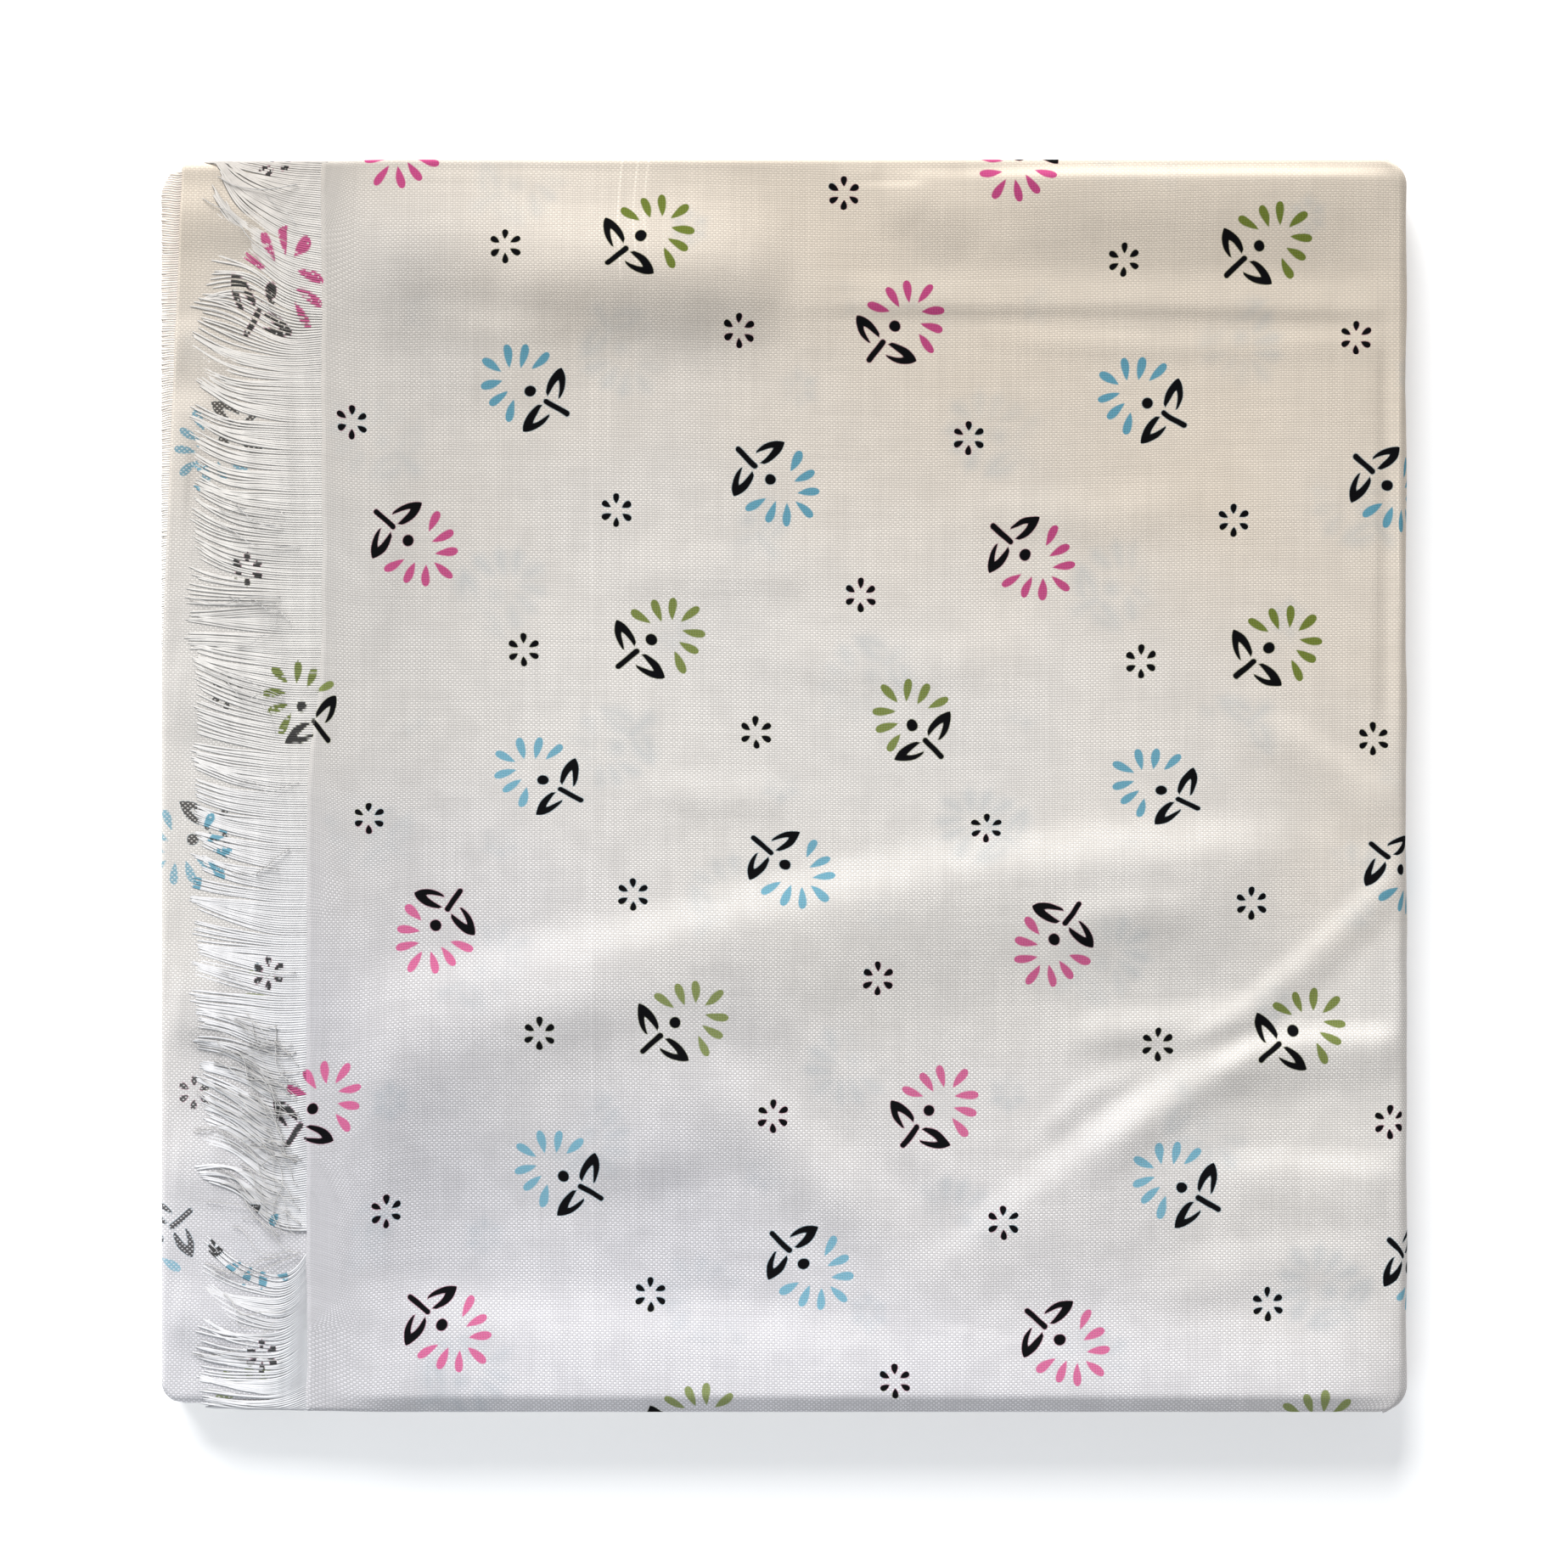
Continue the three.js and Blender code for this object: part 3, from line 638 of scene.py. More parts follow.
def lay_threads(name, paths, radii, places, material, sides=4, flat=1.0):
    """One piece of many threads. A path is an array of points; places are what each point
    was on the flat cloth; flat is a thread's height as a share of its width."""
    segments = len(paths[0]) - 1
    bm, number, share, around = tubes(len(paths), segments, sides)
    piece = new_piece(name, bm, material)
    step = np.clip(np.round(share * segments).astype(int), 0, segments)
    line = np.asarray(paths)
    tangent = np.gradient(line, axis=1)
    tangent /= np.linalg.norm(tangent, axis=2, keepdims=True)
    up = np.zeros_like(line)
    up[..., 2] = 1
    up[..., 0] = -0.35
    across = np.cross(up, tangent)
    across /= np.linalg.norm(across, axis=2, keepdims=True)
    up = np.cross(tangent, across)
    radius = np.array(radii)[number, None]
    taper = np.where(share > 0.97, 0.55, 1.0)[:, None]
    offset = across[number, step] * np.cos(around)[:, None]
    offset += up[number, step] * np.sin(around)[:, None] * flat
    place(piece.data, line[number, step] + offset * radius * taper)
    spot = np.asarray(places)[number, step]
    lay_print(piece.data, spot[:, 0], spot[:, 1])
    return piece


def lie_at(y):
    """The row of the lie table at y, eased between the rows given."""
    low = max(k for k, row in enumerate(LIE[:-1]) if row["y"] <= y)
    a, b = LIE[low], LIE[low + 1]
    t = float(smooth((y - a["y"]) / (b["y"] - a["y"])))
    row = {key: a[key] * (1 - t) + b[key] * t for key in ("keep", "stray", "gather")}
    row["ways"] = [p * (1 - t) + q * t for p, q in zip(a["ways"], b["ways"])]
    return row


def way_at(ways, t):
    """The way a thread runs, in degrees, at a share t of its length."""
    root, middle, tip = ways
    if t < 0.5:
        return root + (middle - root) * float(smooth((t - 0.08) / 0.42))
    return middle + (tip - middle) * float(smooth((t - 0.5) / 0.45))


def locks(rng, low, high, pitch):
    """Sorts the roots from low to high into locks; gives each root with its lock's nature."""
    y = low
    while y < high:
        width = rng.uniform(1.2, 4.6)
        nature = {"middle": y + width / 2, "half": width / 2, "turn": rng.gauss(0, 4.5),
                  "curl": rng.gauss(0, 6.0), "keep": rng.gauss(0, 0.02), "lift": rng.random(),
                  "gather": rng.uniform(0.5, 1.4)}
        while y < min(high, nature["middle"] + nature["half"]):
            yield y, nature
            y += pitch


def top_threads(material):
    """The drawn threads of the top end, lying on the second end in soft locks."""
    rng = random.Random(11)
    limit = PACK_HIGH[1] - 0.5
    rows, radii = [], []
    for root, lock in locks(rng, -limit, limit, WEFT_PITCH):
        if PARTING[0] < root < PARTING[1] and rng.random() < 0.8:
            continue
        lie = lie_at(root)
        start_x = float(edge_x(root)) + TUCK
        length = start_x - FRINGE_LEFT + 0.6
        keep = lie["keep"] + lock["keep"] + rng.gauss(0, 0.018)
        step_length = length * keep / THREAD_STEPS
        own_turn, own_level = rng.gauss(0, 1.2), rng.random()
        seed = rng.random() * 50
        pile = max(0.0, 1 - ((root - lock["middle"]) / lock["half"]) ** 2)
        x, y = start_x, root
        row = []
        for step in range(THREAD_STEPS + 1):
            t = step / THREAD_STEPS
            free = float(smooth((t - 0.12) / 0.6))
            gathered = lie["gather"] * lock["gather"] * float(smooth((t - 0.3) / 0.6))
            height = 0.04 * lock["lift"] * free + 0.025 * own_level + 0.2 * gathered * pile
            height *= 1 - 0.6 * float(smooth((t - 0.8) / 0.2))
            row.append((x, y + (lock["middle"] - root) * min(0.8, gathered), height))
            wiggle = noise.noise((root * 0.13, t * 1.6, 2.2)) * 13
            wiggle += noise.noise((seed, t * 4.5, 7.2)) * 6
            turn = way_at(lie["ways"], t) + free * (lock["turn"] + own_turn + wiggle) * lie["stray"]
            turn = math.radians(turn + lock["curl"] * t * t * lie["stray"])
            x -= step_length * math.cos(turn)
            y += step_length * math.sin(turn)
        rows.append(row)
        radii.append(THREAD * (0.85 + 0.25 * rng.random()))
    x, y, height = np.moveaxis(np.array(rows), 2, 0)

    # From just beneath the cloth's thin edge down to the second end, and over its side.
    root_x, root_y = x[:, 0] - TUCK, y[:, 0]
    start_z = FACE - EDGE_SINK + fold_height(root_x, root_y) - THREAD * THREAD_FLAT - 0.05
    past_root = smooth((root_x[:, None] - x) / DRAPE)
    over = np.clip(np.abs(y) - limit, 0, HANG)
    lain_y = np.clip(y, -limit, limit)
    flat = under_level(x.ravel(), lain_y.ravel() * 0.985).reshape(x.shape)
    lying = flat + THREAD * THREAD_FLAT + height
    z = start_z[:, None] * (1 - past_root) + lying * past_root - over
    paths = np.stack([x, lain_y + np.sign(y) * 0.2 * smooth(over / 1.5), z], 2)
    places = np.stack(print_place(x, y), 2)
    piece = lay_threads("top_fringe_threads", paths, radii, places, material, flat=THREAD_FLAT)
    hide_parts("top_fringe")
    return piece


def loose_hairs(material):
    """Thin fibres and stray threads over the top fringe, each with a way of its own."""
    rng = random.Random(23)
    limit = PACK_HIGH[1] - 0.8
    rows, radii = [], []
    for number in range(96):
        root = rng.uniform(-limit, limit) if number % 3 == 0 else rng.uniform(-112, -60)
        lie = lie_at(root)
        x, y = TOP_LEFT - rng.uniform(3, 10), root
        step_length = rng.uniform(9, 24) / THREAD_STEPS
        seed, bend = rng.random() * 50, rng.gauss(0, 16)
        row = []
        for step in range(THREAD_STEPS + 1):
            t = step / THREAD_STEPS
            rise = 0.55 * math.sin(math.pi * t) * (0.5 + noise.noise((seed, t * 2, 1.0)))
            row.append((x, max(-limit, min(limit, y)), 0.6 + rise - 0.35 * t ** 4))
            wander = noise.noise((seed, t * 2.6, 4.4)) * 75
            turn = math.radians(way_at(lie["ways"], 0.3 + 0.6 * t) + bend + wander)
            x = max(UNDER_LOW[0] + 3, x - step_length * math.cos(turn))
            y += step_length * math.sin(turn)
        rows.append(row)
        radii.append(rng.choice((0.07, 0.085, 0.12)))
    x, y, rise = np.moveaxis(np.array(rows), 2, 0)
    z = under_level(x.ravel(), y.ravel()).reshape(x.shape) + rise
    blank = np.stack([np.full(x.shape, TOP_LEFT - 14), np.full(x.shape, 5.0)], 2)
    piece = lay_threads("loose_hairs", np.stack([x, y, z], 2), radii, blank, material, sides=3)
    return piece


def under_threads(material):
    """The drawn threads of the second end, over the pack's left side and down it."""
    rng = random.Random(5)
    start_z = UNDER_HIGH[2] - 0.16
    paths, radii, places = [], [], []
    for root in np.arange(-UNDER_NEAR + 1.6, UNDER_FAR - 2.2, WEFT_PITCH):
        outer_x = PACK_LOW[0] + 0.25 + float(corner_inset(root)) + 0.2 * rng.random()
        root_x = max(float(under_root(root)) + 0.8, outer_x + 0.5)
        over_x = outer_x + UNDER_ROLL
        flat_length = max(0.0, root_x - over_x)
        start_angle = math.asin(min(1.0, max(0.0, over_x - root_x) / UNDER_ROLL))
        arc_length = UNDER_ROLL * (math.pi / 2 - start_angle)
        end_z = 0.35 + 0.9 * rng.random()
        total = flat_length + arc_length + start_z - UNDER_ROLL - end_z
        own = rng.gauss(0, 0.25)
        path, spots = [], []
        for step in range(THREAD_STEPS + 1):
            t = step / THREAD_STEPS
            along = t * total
            angle = start_angle + (along - flat_length) / UNDER_ROLL
            if along < flat_length:
                x, z = root_x - along, start_z
            elif angle < math.pi / 2:
                x = over_x - UNDER_ROLL * math.sin(angle)
                z = start_z - UNDER_ROLL * (1 - math.cos(angle))
            else:
                x, z = outer_x, start_z - UNDER_ROLL - (along - flat_length - arc_length)
            lean = noise.noise((root * 0.09, t, 3.3)) * 3.0 + noise.noise((root * 0.5, t * 2, 6.3)) * 0.9
            wave = 0.5 * noise.noise((root * 0.05, x * 0.4, 9.9)) * min(1.0, along / 2)
            y = max(-UNDER_NEAR + 1, min(UNDER_FAR - 1, root + wave + (lean + own) * t ** 1.6))
            path.append((x, y, z))
            spots.append(under_place(root_x - along, y))
        paths.append(path)
        radii.append(THREAD * (0.85 + 0.3 * rng.random()))
        places.append(spots)
    piece = lay_threads("under_fringe_threads", paths, radii, places, material, flat=0.3)
    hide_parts("under_fringe")
    return piece


# ---- Node trees ----
class Signal:
    """An output of a node. Arithmetic with it adds the nodes that work it out."""

    def __init__(self, tree, socket):
        self.tree = tree
        self.socket = socket

    def __add__(self, other):
        return self.tree.math("ADD", self, other)

    def __sub__(self, other):
        return self.tree.math("SUBTRACT", self, other)

    def __rsub__(self, other):
        return self.tree.math("SUBTRACT", other, self)

    def __mul__(self, other):
        return self.tree.math("MULTIPLY", self, other)

    def __rmul__(self, other):
        return self.tree.math("MULTIPLY", other, self)

    def __truediv__(self, other):
        return self.tree.math("DIVIDE", self, other)

    def __pow__(self, other):
        return self.tree.math("POWER", self, other)

    def __abs__(self):
        return self.tree.math("ABSOLUTE", self)

    def dot(self, other):
        return self.tree.math("DOT_PRODUCT", self, other)


class Node:
    """A node: node[name] is one of its outputs, and node[name] = value sets an input."""

    def __init__(self, tree, node):
        self.tree = tree
        self.node = node

    def __getitem__(self, name):
        return Signal(self.tree, self.node.outputs[name])

    def __setitem__(self, name, value):
        if isinstance(value, Signal):
            self.tree.links.new(value.socket, self.node.inputs[name])
        else:
            self.node.inputs[name].default_value = value


class Tree:
    """A short way to write a node tree."""

    def __init__(self, tree):
        self.nodes = tree.nodes
        self.links = tree.links

    def node(self, kind, inputs=(), **settings):
        node = self.nodes.new(kind)
        for key, value in settings.items():
            setattr(node, key, value)
        made = Node(self, node)
        for key, value in dict(inputs).items():
            made[key] = value
        return made

    def group(self, tree, **inputs):
        return self.node("ShaderNodeGroup", inputs, node_tree=tree)

    def math(self, operation, *values):
        """One step of arithmetic, on vectors if any of the values is one."""
        wide = [v.socket.type != "VALUE" if isinstance(v, Signal) else isinstance(v, tuple)
                for v in values]
        if not any(wide):
            return self.node("ShaderNodeMath", enumerate(values), operation=operation)[0]
        if operation == "MULTIPLY" and not all(wide):
            vector, scale = values if wide[0] else values[::-1]
            inputs = {0: vector, "Scale": scale}
            return self.node("ShaderNodeVectorMath", inputs, operation="SCALE")[0]
        node = self.node("ShaderNodeVectorMath", enumerate(values), operation=operation)
        return node["Value" if operation in ("DOT_PRODUCT", "LENGTH") else "Vector"]

    def clip(self, value, low, high):
        return self.math("MINIMUM", self.math("MAXIMUM", value, low), high)

    def split(self, vector):
        node = self.node("ShaderNodeSeparateXYZ", {"Vector": vector})
        return node["X"], node["Y"]

    def range(self, value, low, high, to_low=0.0, to_high=1.0, kind="SMOOTHSTEP"):
        inputs = {"Value": value, "From Min": low, "From Max": high,
                  "To Min": to_low, "To Max": to_high}
        return self.node("ShaderNodeMapRange", inputs, interpolation_type=kind)["Result"]

    def mix(self, share, a, b):
        """A colour between a and b. Sockets 6 and 7 of the node take its two colours."""
        return self.node("ShaderNodeMix", {0: share, 6: a, 7: b}, data_type="RGBA")[2]

    def noise(self, where, scale, detail=2.0):
        inputs = {"Vector": where, "Scale": scale, "Detail": detail}
        return self.node("ShaderNodeTexNoise", inputs)["Fac"]

    def table(self, share, rows):
        """Looks up a row of a table of colours, one step each."""
        made = self.node("ShaderNodeValToRGB", {"Fac": share})
        ramp = made.node.color_ramp
        ramp.interpolation = "CONSTANT"
        while len(ramp.elements) < len(rows):
            ramp.elements.new(1.0)
        for k, row in enumerate(rows):
            ramp.elements[k].position = k / len(rows)
            ramp.elements[k].color = (*row, 1.0)
        return made["Color"]

    def places(self, share, rows):
        """Looks up a row of a table of places in the plane."""
        packed = [(x / (2 * TABLE_SPAN) + 0.5, y / (2 * TABLE_SPAN) + 0.5, 0.5) for x, y in rows]
        return (self.table(share, packed) - (0.5, 0.5, 0.5)) * (2 * TABLE_SPAN)


SOCKETS = {"value": "NodeSocketFloat", "vector": "NodeSocketVector", "colour": "NodeSocketColor"}


def new_group(name, inputs, outputs):
    """A shader node group, with its Tree and its input and output nodes."""
    group = bpy.data.node_groups.new(name, "ShaderNodeTree")
    for in_out, sockets in (("INPUT", inputs), ("OUTPUT", outputs)):
        for key, kind in sockets.items():
            group.interface.new_socket(key, in_out=in_out, socket_type=SOCKETS[kind])
    tree = Tree(group)
    return group, tree, tree.node("NodeGroupInput"), tree.node("NodeGroupOutput")


def drop_group():
    """A teardrop's inside: how far a point lies within its edge, in millimetres."""
    group, t, given, result = new_group(
        "print_drop",
        {"Point": "vector", "Centre": "vector", "Along": "vector", "Length": "value", "Half": "value"},
        {"Inside": "value"})
    rel = given["Point"] - given["Centre"]
    along = rel.dot(given["Along"]) / given["Length"]
    share = along + 0.5
    inner = t.clip(share, 0.0, 1.0)
    across_way = t.math("CROSS_PRODUCT", (0, 0, 1), given["Along"])
    across = abs(rel.dot(across_way))
    swell = inner ** 0.9 * (1.0 - inner) ** 0.45
    half = swell * given["Half"] * (1 / 0.4235)
    beyond = abs(share - inner) * given["Length"]
    result["Inside"] = half - across - beyond
    return group


def leaf_group():
    """A leaf's inside: an almond with a bite taken out from the stem's side."""
    group, t, given, result = new_group("print_leaf", {"Point": "vector"}, {"Inside": "value"})
    bx, by = LEAF["base"]
    tx, ty = LEAF["tip"]
    length = math.hypot(tx - bx, ty - by)
    ux, uy = (tx - bx) / length, (ty - by) / length
    rel = given["Point"] - (bx, by, 0)
    share = rel.dot((ux, uy, 0)) / length
    across = rel.dot((uy, -ux, 0))
    inner = t.clip(share, 0.0, 1.0)
    beyond = abs(share - inner) * length
    widest = 0.3
    to_tip = t.math("MAXIMUM", inner - widest, 0.0) / (1 - widest)
    outer = (1.0 - to_tip * to_tip) ** 0.8
    to_base = t.math("MAXIMUM", widest - inner, 0.0)
    half = outer * LEAF["half"] - to_base * to_base * (LEAF["narrowed"] / widest ** 2)
    almond = half - abs(across) - beyond
    left = 1.0 - share / LEAF["notch_to"]
    round_end = t.math("MAXIMUM", left, 0.0) ** 0.6
    bite_half = (round_end + t.math("MINIMUM", left, 0.0)) * LEAF["notch"]
    from_bite = abs(across + 0.2) - bite_half
    result["Inside"] = t.math("MINIMUM", almond, from_bite)
    return group


def lattice_group():
    """The nearest point of the print's lattice: where the given place is from it, and which
    of the ten flowers stands there, as a share for a table."""
    group, t, given, result = new_group(
        "print_lattice", {"Place": "vector"}, {"Local": "vector", "Which": "value"})
    (ax, ay), (bx, by) = PRINT_A, PRINT_B
    det = ax * by - ay * bx
    i = t.math("ROUND", given["Place"].dot((by / det, -bx / det, 0)))
    j = t.math("ROUND", given["Place"].dot((-ay / det, ax / det, 0)))
    step_a, step_b = (ax, ay, 0) * i, (bx, by, 0) * j
    which = t.math("FLOORED_MODULO", i + j * 2.0, len(FLOWERS))
    result["Local"] = given["Place"] - step_a - step_b
    result["Which"] = (which + 0.5) / len(FLOWERS)
    return group


def largest(t, values):
    best = values[0]
    for value in values[1:]:
        best = t.math("MAXIMUM", best, value)
    return best


def print_group():
    """The printed flowers and daisies: the ink's colour and how much of it there is at a
    place on the flat cloth, in millimetres."""
    group, t, given, result = new_group(
        "flower_print", {"Place": "vector", "Soft": "value"},
        {"Ink": "colour", "Amount": "value", "Dark": "value"})
    drop, leaf, lattice = drop_group(), leaf_group(), lattice_group()

    def drops(point, rows, size):
        found = []
        for forward, sideways, lean in rows:
            way = (math.cos(math.radians(lean)), math.sin(math.radians(lean)), 0)
            found.append(t.group(drop, Point=point, Centre=(forward, sideways, 0), Along=way,
                                 Length=size[0], Half=size[1])["Inside"])
        return largest(t, found)

    def mirrored(point):
        x, y = t.split(point)
        return t.node("ShaderNodeCombineXYZ", {"X": x, "Y": abs(y)})[0]

    hand = t.node("ShaderNodeTexNoise", {"Vector": given["Place"], "Scale": 0.16, "Detail": 1.0})
    wobble = (hand["Color"] - (0.5, 0.5, 0.5)) * 0.9
    place = given["Place"] + wobble
    from_origin = place - (*PRINT_ORIGIN, 0)

    # Flowers, turned so that their petals fan out along +X.
    cell = t.group(lattice, Place=from_origin)
    which = cell["Which"]
    eye = t.places(which, [row["eye"] for row in FLOWERS])
    fan = t.places(which, [row["fan"] for row in FLOWERS])
    ways = [math.radians(row["stem"] + 180) for row in FLOWERS]
    forward = t.places(which, [(math.cos(w), math.sin(w)) for w in ways])
    sideways = t.math("CROSS_PRODUCT", (0, 0, 1), forward)
    from_eye = cell["Local"] - eye
    on_flower = {"X": from_eye.dot(forward), "Y": from_eye.dot(sideways)}
    point = t.node("ShaderNodeCombineXYZ", on_flower)[0]
    petals = drops(mirrored(point - fan), PETALS, PETAL_SIZE)
    x, y = t.split(point)
    on_stem = t.clip(x, STEM["to"], STEM["from"])
    stem_away = t.math("SQRT", (x - on_stem) ** 2.0 + y * y)
    stem = STEM["radius"] - stem_away
    spot = EYE_RADIUS - t.math("LENGTH", point)
    leaves = t.group(leaf, Point=mirrored(point))["Inside"]

    # Daisies.
    mean_x = sum(x for x, _ in DAISIES) / len(DAISIES)
    mean_y = sum(y for _, y in DAISIES) / len(DAISIES)
    beside = t.group(lattice, Place=from_origin - (mean_x, mean_y, 0))
    rows = [(x - mean_x, y - mean_y) for x, y in DAISIES] * 2
    own = t.places(beside["Which"], rows)
    from_daisy = abs(beside["Local"] - own)
    daisy = drops(from_daisy, DAISY_PETALS, DAISY_PETAL_SIZE)

    black = largest(t, [stem, spot, leaves, daisy])
    less = given["Soft"] * -1.0
    black_amount = t.range(black + 0.04, less, given["Soft"])
    colour_amount = t.range(petals, less, given["Soft"])
    ink = t.table(which, [row["ink"] for row in FLOWERS])
    result["Ink"] = t.mix(black_amount, ink, (*BLACK, 1))
    result["Amount"] = t.math("MAXIMUM", black_amount, colour_amount)
    result["Dark"] = black_amount
    return group


def weave_group():
    """Plain weave at a place on the flat cloth in millimetres: the height of its threads,
    the gaps between them, and where a thread along X floats over one along Y."""
    group, t, given, result = new_group(
        "plain_weave", {"Place": "vector"}, {"Height": "value", "Gap": "value", "Float": "value"})
    uneven = t.noise(given["Place"], 0.22, 3.0)
    shift = (uneven - 0.5) * 0.5
    x, y = t.split(given["Place"])
    warp = t.math("SINE", (x + shift) * (math.pi / WARP_PITCH))
    weft = t.math("SINE", (y + shift) * (math.pi / WEFT_PITCH))
    over = t.range(warp * weft, -0.1, 0.1)
    warp, weft = abs(warp), abs(weft)
    warp_over = warp * weft ** 0.35
    weft_over = weft * warp ** 0.35
    both = warp_over * over + weft_over * (1.0 - over)
    result["Height"] = both
    result["Float"] = weft_over * (1.0 - over)
    result["Gap"] = t.range(both, 0.55, 0.0)
    return group


def new_material(name):
    material = bpy.data.materials.new(name)
    material.use_nodes = True
    material.node_tree.nodes.clear()
    tree = Tree(material.node_tree)
    shader = tree.node("ShaderNodeBsdfPrincipled", {"Specular IOR Level": 0.03})
    tree.node("ShaderNodeOutputMaterial", {"Surface": shader[0]})
    return material, tree, shader


def flat_place(t):
    """The place on the flat cloth, in millimetres."""
    uv = t.node("ShaderNodeUVMap", uv_map="cloth")["UV"]
    return uv * (1 / MM)


def far_share(t, place):
    """How far a place lies towards the cloth's far right corner: about 0 to 1. It steers the painted
    shade and light across the cloth.
    """
    slant = place.dot((0.0016, 0.0034, 0))
    uneven = (t.noise(place, 0.011, 2.0) - 0.5) * 0.5
    return slant + uneven + 0.5


def cloth_tone_with_painted_light(t, share, tones):
    """The cloth's tone, which runs from the first tone at the far corner to the last: its own off-white
    in the middle, painted warm shade at the far corner and painted cool light at the near one.
    """
    far, middle, near = ((*tone, 1) for tone in tones)
    lower = t.mix(t.range(share, -0.05, 0.5), near, middle)
    return t.mix(t.range(share, 0.5, 1.05), lower, far)


def ladders_and_crease_highlights(t, place, float_):
    """The light lines where the cloth's threads stand apart, and painted highlights along a crease and a
    fold's crest, dashed by the threads across.
    """
    x, y = t.split(place)
    sway = (t.noise(place, 0.07, 1.0) - 0.5) * 0.8
    lines = []
    for row in LADDERS_AND_CREASE_HIGHLIGHTS:
        middle = (row["low"] + row["high"]) / 2
        bowed = ((y - middle) / (row["high"] - middle)) ** 2.0
        centre = bowed * row["bow"] + (sway + (row["x"] - 0.5 * row["bow"]))
        away = abs(x - centre)
        ends = t.range(y, row["low"], row["low"] + 8) * t.range(y, row["high"], row["high"] - 4)
        line = t.range(away, LADDER_HALF, 0.4 * LADDER_HALF) * ends
        lines.append(line * row["light"])
    return largest(t, lines) * t.range(float_, 0.0, 0.8, 0.45, 1.0)


def woven_base(t, place, weave, share):
    """The bare cloth's colour, with its threads as painted highlights on the floats and painted shade in
    the gaps; gives the colour and the weave's node.
    """
    cloth = t.group(weave, Place=place)
    gap, float_ = cloth["Gap"], cloth["Float"]
    blotch = t.range(t.noise(place, 0.02, 3.0), 0.3, 0.7, 0.965, 1.02, "LINEAR")
    slub = t.noise(place * (0.03, 1.6, 1), 1.0, 2.0)
    slub_x = t.noise(place * (1.5, 0.025, 1), 1.0, 2.0)
    streak = t.range(slub + slub_x, 0.7, 1.3, 0.955, 1.045, "LINEAR")
    painted_weave_contrast = t.range(share, 1.0, 0.2, 0.5, 1.15, "LINEAR")
    # Painted highlights where a thread along X floats over one along Y, and painted shade in the gaps
    # between threads, stronger towards the near end.
    painted_float_highlights = float_ * t.range(t.noise(place, 0.12, 2.0), 0.35, 0.6, 0.2, 0.42)
    threads = (painted_float_highlights - t.range(gap, 0, 1, 0.05, 0.22, "LINEAR")) * painted_weave_contrast + 1.0
    # Next to the drawn edge the cross threads are slack, and the threads along X show alone, as painted
    # stripes of light and shade.
    x, y = t.split(place)
    edge = t.range(y, STEP_LOW, STEP_HIGH, EDGE_NEAR, EDGE_FAR)
    slack = t.range(x - edge, 0.3, 4.5, 0.85, 0.0)
    painted_thread_stripes = t.math("COSINE", y * (2 * math.pi / WEFT_PITCH)) * 0.06 + 1.0
    threads = threads + (painted_thread_stripes - threads) * slack
    # Painted shade: darker next to the drawn edge, where fewer layers lie beneath.
    painted_shade_by_fringe = t.range(x, TOP_LEFT - 6, TOP_LEFT + 62, 0.83, 1.0)  # fewer layers lie beneath
    light = blotch * streak * (threads * painted_shade_by_fringe)
    # The tones carry painted light: warm shade at the far corner, cool light at the near one.
    return cloth_tone_with_painted_light(t, share, CLOTH_TONES_WITH_PAINTED_LIGHT) * light, cloth


def finish_cloth(t, shader, place, cloth):
    """Roughness, and the bump of the threads and of the cloth's small unevenness."""
    shader["Roughness"] = t.range(cloth["Gap"], 0, 1, 0.86, 0.95, "LINEAR")
    soft = t.node("ShaderNodeBump", {
        "Height": t.noise(place, 0.08, 3.0), "Strength": 0.5, "Distance": 0.22 * MM})
    threads = t.node("ShaderNodeBump", {"Height": cloth["Height"], "Strength": 0.6,
                                        "Distance": 0.07 * MM, "Normal": soft[0]})
    shader["Normal"] = threads[0]


def printed_cotton(name, flowers, weave, strength, through, undyed=0.0):
    """Plain-weave cotton with its print, and a trace of the print on the layers beneath.
    undyed is how much of the dye is missing from the threads that stand out on this side."""
    material, t, shader = new_material(name)
    place = flat_place(t)
    share = far_share(t, place)
    base, cloth = woven_base(t, place, weave, share)
    lines = ladders_and_crease_highlights(t, place, cloth["Float"])
    # The light lines are partly painted highlights along a crease and a fold's crest.
    base = base * (lines + 1.0)

    below = place * (-1, 1, 1) + GHOST_SHIFT
    ghost = t.group(flowers, Place=below, Soft=3.0)
    patch = t.range(t.noise(place, 0.03, 1.0), 0.40, 0.62, 0.0, through)
    base = t.mix(ghost["Amount"] * patch, base, (*GHOST_INK, 1))

    # The ink is darker at the far corner, painted shade like the cloth's tone there, and lighter, as
    # painted light, and a little thinner towards the near one.
    print_ = t.group(flowers, Place=place, Soft=0.18)
    towards_near = t.range(share, 0.9, 0.1)
    between = t.range(cloth["Gap"], 0.2, 1.0, 0.0, 1.0, "LINEAR")
    lost = towards_near * 0.1 + between * t.range(towards_near, 0, 1, 0.1, 0.26, "LINEAR")
    coloured = print_["Amount"] * (1.0 - lost)
    bare = t.range(cloth["Float"], 0.45, 0.9, strength, strength * (1 - undyed))
    amount = t.math("MAXIMUM", coloured, print_["Dark"]) * bare
    ink = print_["Ink"] * t.range(towards_near, 0, 1, 0.76, 1.04, "LINEAR")
    shader["Base Color"] = t.mix(amount, base, ink)
    finish_cloth(t, shader, place, cloth)
    return material


def folded_cotton(flowers, weave):
    """The folded edges of the layers beneath, with a little of the print on them."""
    material, t, shader = new_material("folded_cotton")
    place = flat_place(t)
    base, cloth = woven_base(t, place, weave, t.range(t.noise(place, 0.01, 1.0), 0.3, 0.7, 0.3, 0.6))
    print_ = t.group(flowers, Place=place, Soft=0.3)
    shader["Base Color"] = t.mix(print_["Amount"] * 0.45, base, print_["Ink"])
    finish_cloth(t, shader, place, cloth)
    return material


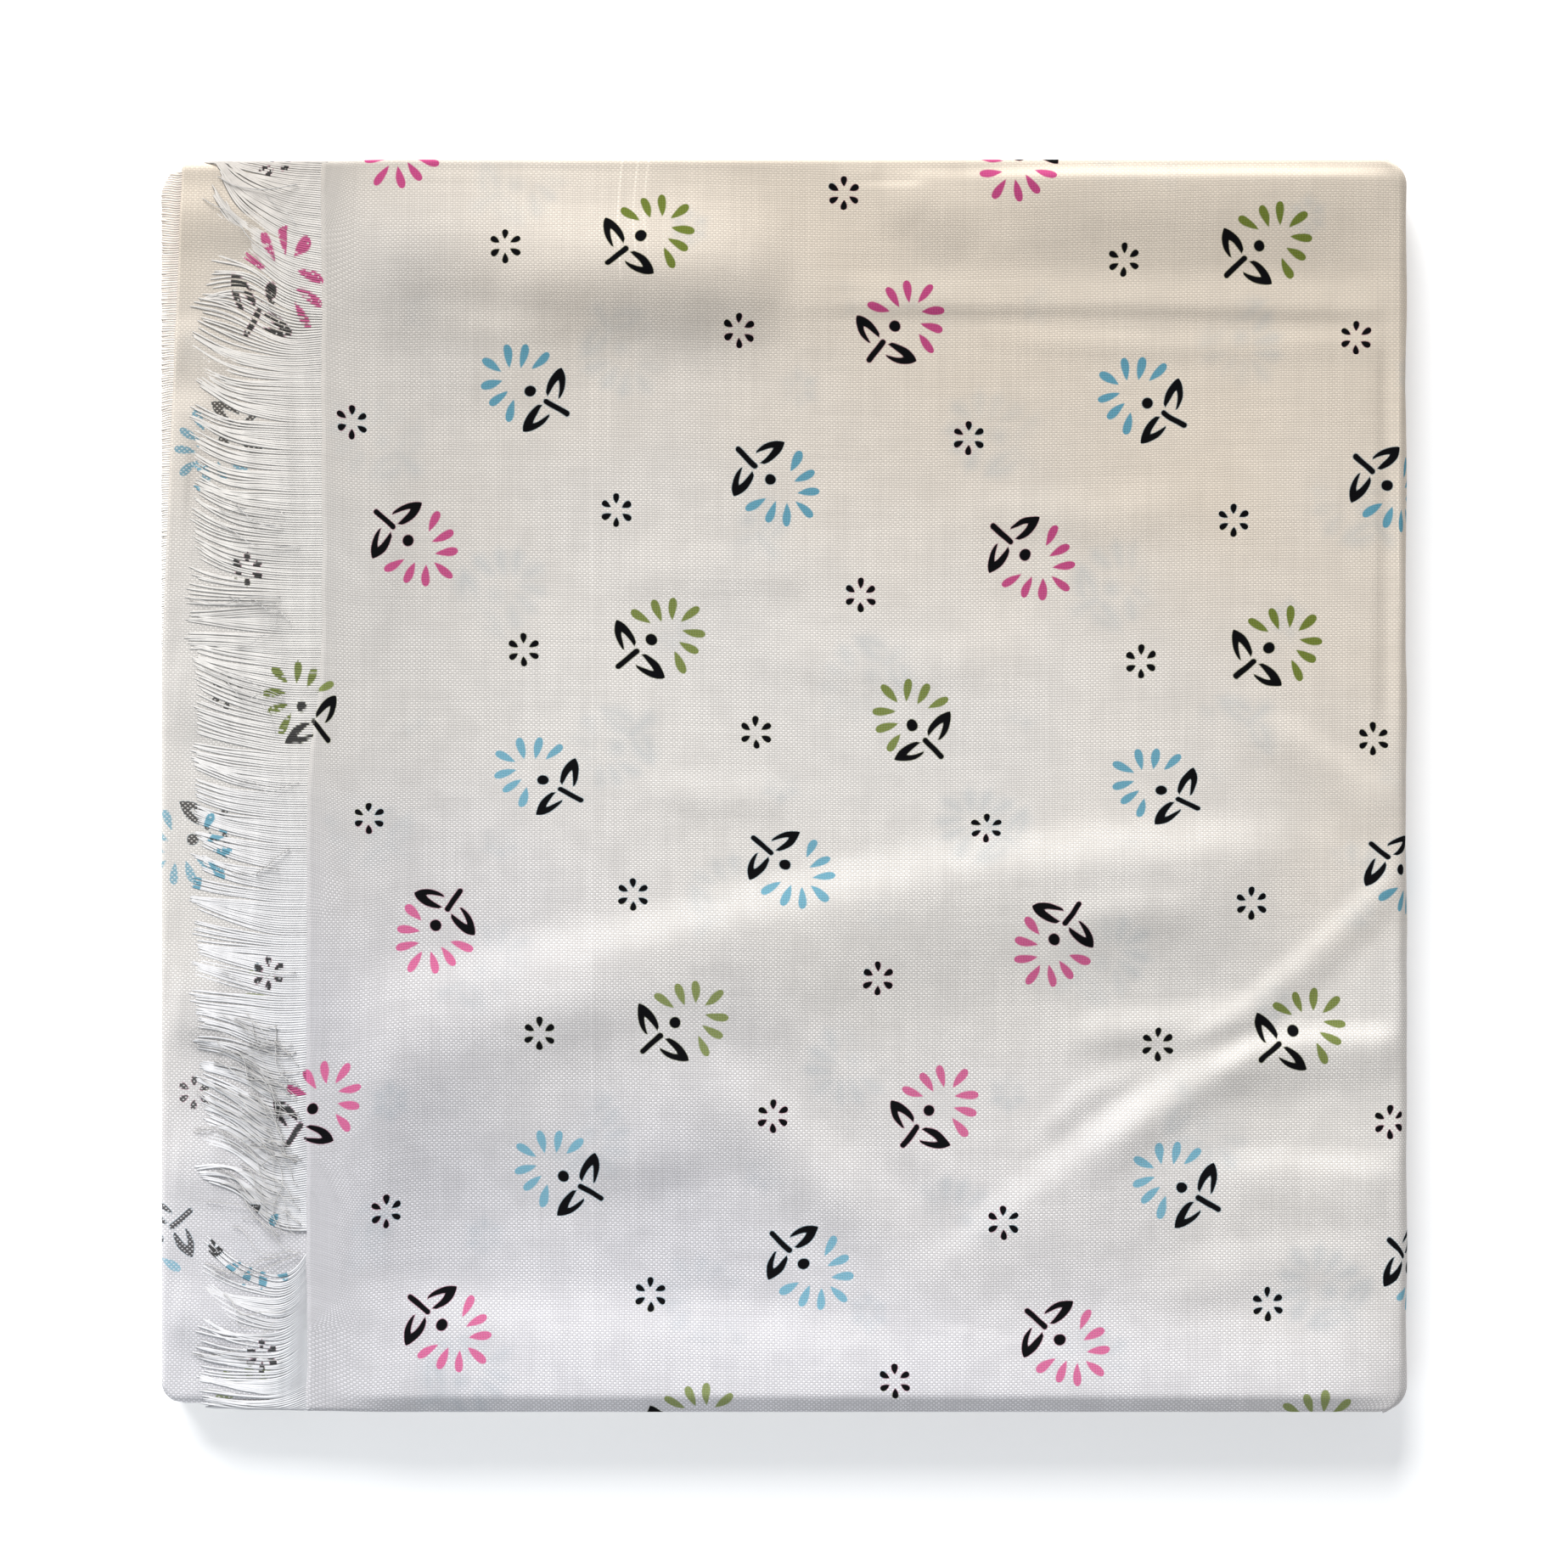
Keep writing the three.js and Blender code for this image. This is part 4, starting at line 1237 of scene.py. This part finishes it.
def thread_cotton(name, flowers, strength, fuzz):
    """Loose drawn threads, with what they carry of the print; some have turned over. fuzz
    is how far they shade as a flat bed of threads does, and not as bare round tubes."""
    material, t, shader = new_material(name)
    place = flat_place(t)
    print_ = t.group(flowers, Place=place, Soft=0.2)
    in_metres = t.node("ShaderNodeTexCoord")["Object"]
    twist = t.noise(in_metres, 2600.0, 2.0)
    # Painted shade: faint bands along Y across the loose threads, where threads left in shade them.
    painted_shade_bands = t.noise(place * (0.42, 0.02, 1), 1.0, 1.0)
    tone = t.range(t.noise(in_metres, 240.0, 2.0), 0.3, 0.7, 0.97, 1.03, "LINEAR")
    tone = tone * t.range(painted_shade_bands, 0.3, 0.7, 0.94, 1.05, "LINEAR")
    # Painted light: warm shade towards the far end, cool light towards the near one, and lighter than
    # the cloth against the shade between threads.
    base = cloth_tone_with_painted_light(t, far_share(t, place), LOOSE_TONES_WITH_PAINTED_LIGHT) * tone
    turned = t.noise(place * (0.12, 2.6, 1), 1.0, 1.0)
    amount = print_["Amount"] * t.range(turned, 0.34, 0.4, 0.25, strength)
    shader["Base Color"] = t.mix(amount, base, print_["Ink"])
    shader["Roughness"] = t.range(twist, 0, 1, 0.75, 0.95, "LINEAR")
    turned_up = t.node("ShaderNodeNewGeometry")["Normal"] * (1 - fuzz) + (0, 0, fuzz)
    bump = t.node("ShaderNodeBump", {"Height": twist, "Strength": 0.3, "Distance": 0.04 * MM,
                                     "Normal": t.math("NORMALIZE", turned_up)})
    shader["Normal"] = bump[0]
    return material


# ---- Stage ----
def add_lamp(lamp, spot):
    """Places a lamp at a spot, turned to the middle of the pack."""
    holder = bpy.data.objects.new(lamp.name, lamp)
    holder.location = spot
    holder.rotation_euler = (-Vector(spot)).to_track_quat("-Z", "Y").to_euler()
    bpy.context.scene.collection.objects.link(holder)


def stage():
    """A plain pale floor, soft light from above and beyond, and the camera straight above."""
    scene = bpy.context.scene
    scene.view_settings.view_transform = "Standard"

    bm = grid(2, 2)
    bmesh.ops.scale(bm, vec=(4, 4, 1), verts=bm.verts)
    material, _, shader = new_material("floor")
    shader["Base Color"] = (*FLOOR, 1)
    shader["Roughness"] = 0.9
    shader["Emission Color"] = (0.97, 0.98, 1.0, 1)
    shader["Emission Strength"] = FLOOR_GLOW
    floor = new_object("floor", bm, material)
    floor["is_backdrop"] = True

    world = bpy.data.worlds.new("studio")
    world.use_nodes = True
    background = Node(Tree(world.node_tree), world.node_tree.nodes["Background"])
    background["Color"] = (0.97, 0.98, 1.0, 1)
    background["Strength"] = 0.42
    scene.world = world

    window = bpy.data.lights.new("window", "SUN")
    window.energy = 5.9
    window.angle = math.radians(38)
    window.color = (1.0, 0.995, 0.985)
    add_lamp(window, (-0.33, 1.0, 0.375))
    fill = bpy.data.lights.new("fill", "AREA")
    fill.size = 0.5
    fill.energy = 0.9
    fill.color = (0.82, 0.92, 1.0)
    add_lamp(fill, (-0.3, -0.45, 0.4))

    frame_width = 369.4 * MM  # of the surface of the pack
    camera = bpy.data.cameras.new("camera")
    camera.lens = 70.0
    camera.sensor_width = 36.0
    holder = bpy.data.objects.new("camera", camera)
    holder.location = (-0.2 * MM, 0.4 * MM, FACE * MM + frame_width * camera.lens / camera.sensor_width)
    scene.collection.objects.link(holder)
    scene.camera = holder


# ---- The pack ----
stage()
flowers = print_group()
weave = weave_group()
face = printed_cotton("printed_face", flowers, weave, 1.0, 0.3)
wrong_side = printed_cotton("printed_wrong_side", flowers, weave, 0.84, 0.1, undyed=0.75)
edges = folded_cotton(flowers, weave)
loose = thread_cotton("drawn_threads", flowers, 0.92, 0.86)
loose_wrong = thread_cotton("drawn_threads_wrong_side", flowers, 0.5, 0.4)

hidden_layers(edges)
second, second_size = under_cloth(wrong_side)
second_fringe = under_threads(loose_wrong)
top, top_size = top_cloth(face)
top_fringe = top_threads(loose)
hairs = loose_hairs(loose)

tuple(s * MM for s in second_size)
tuple(s * MM for s in top_size)
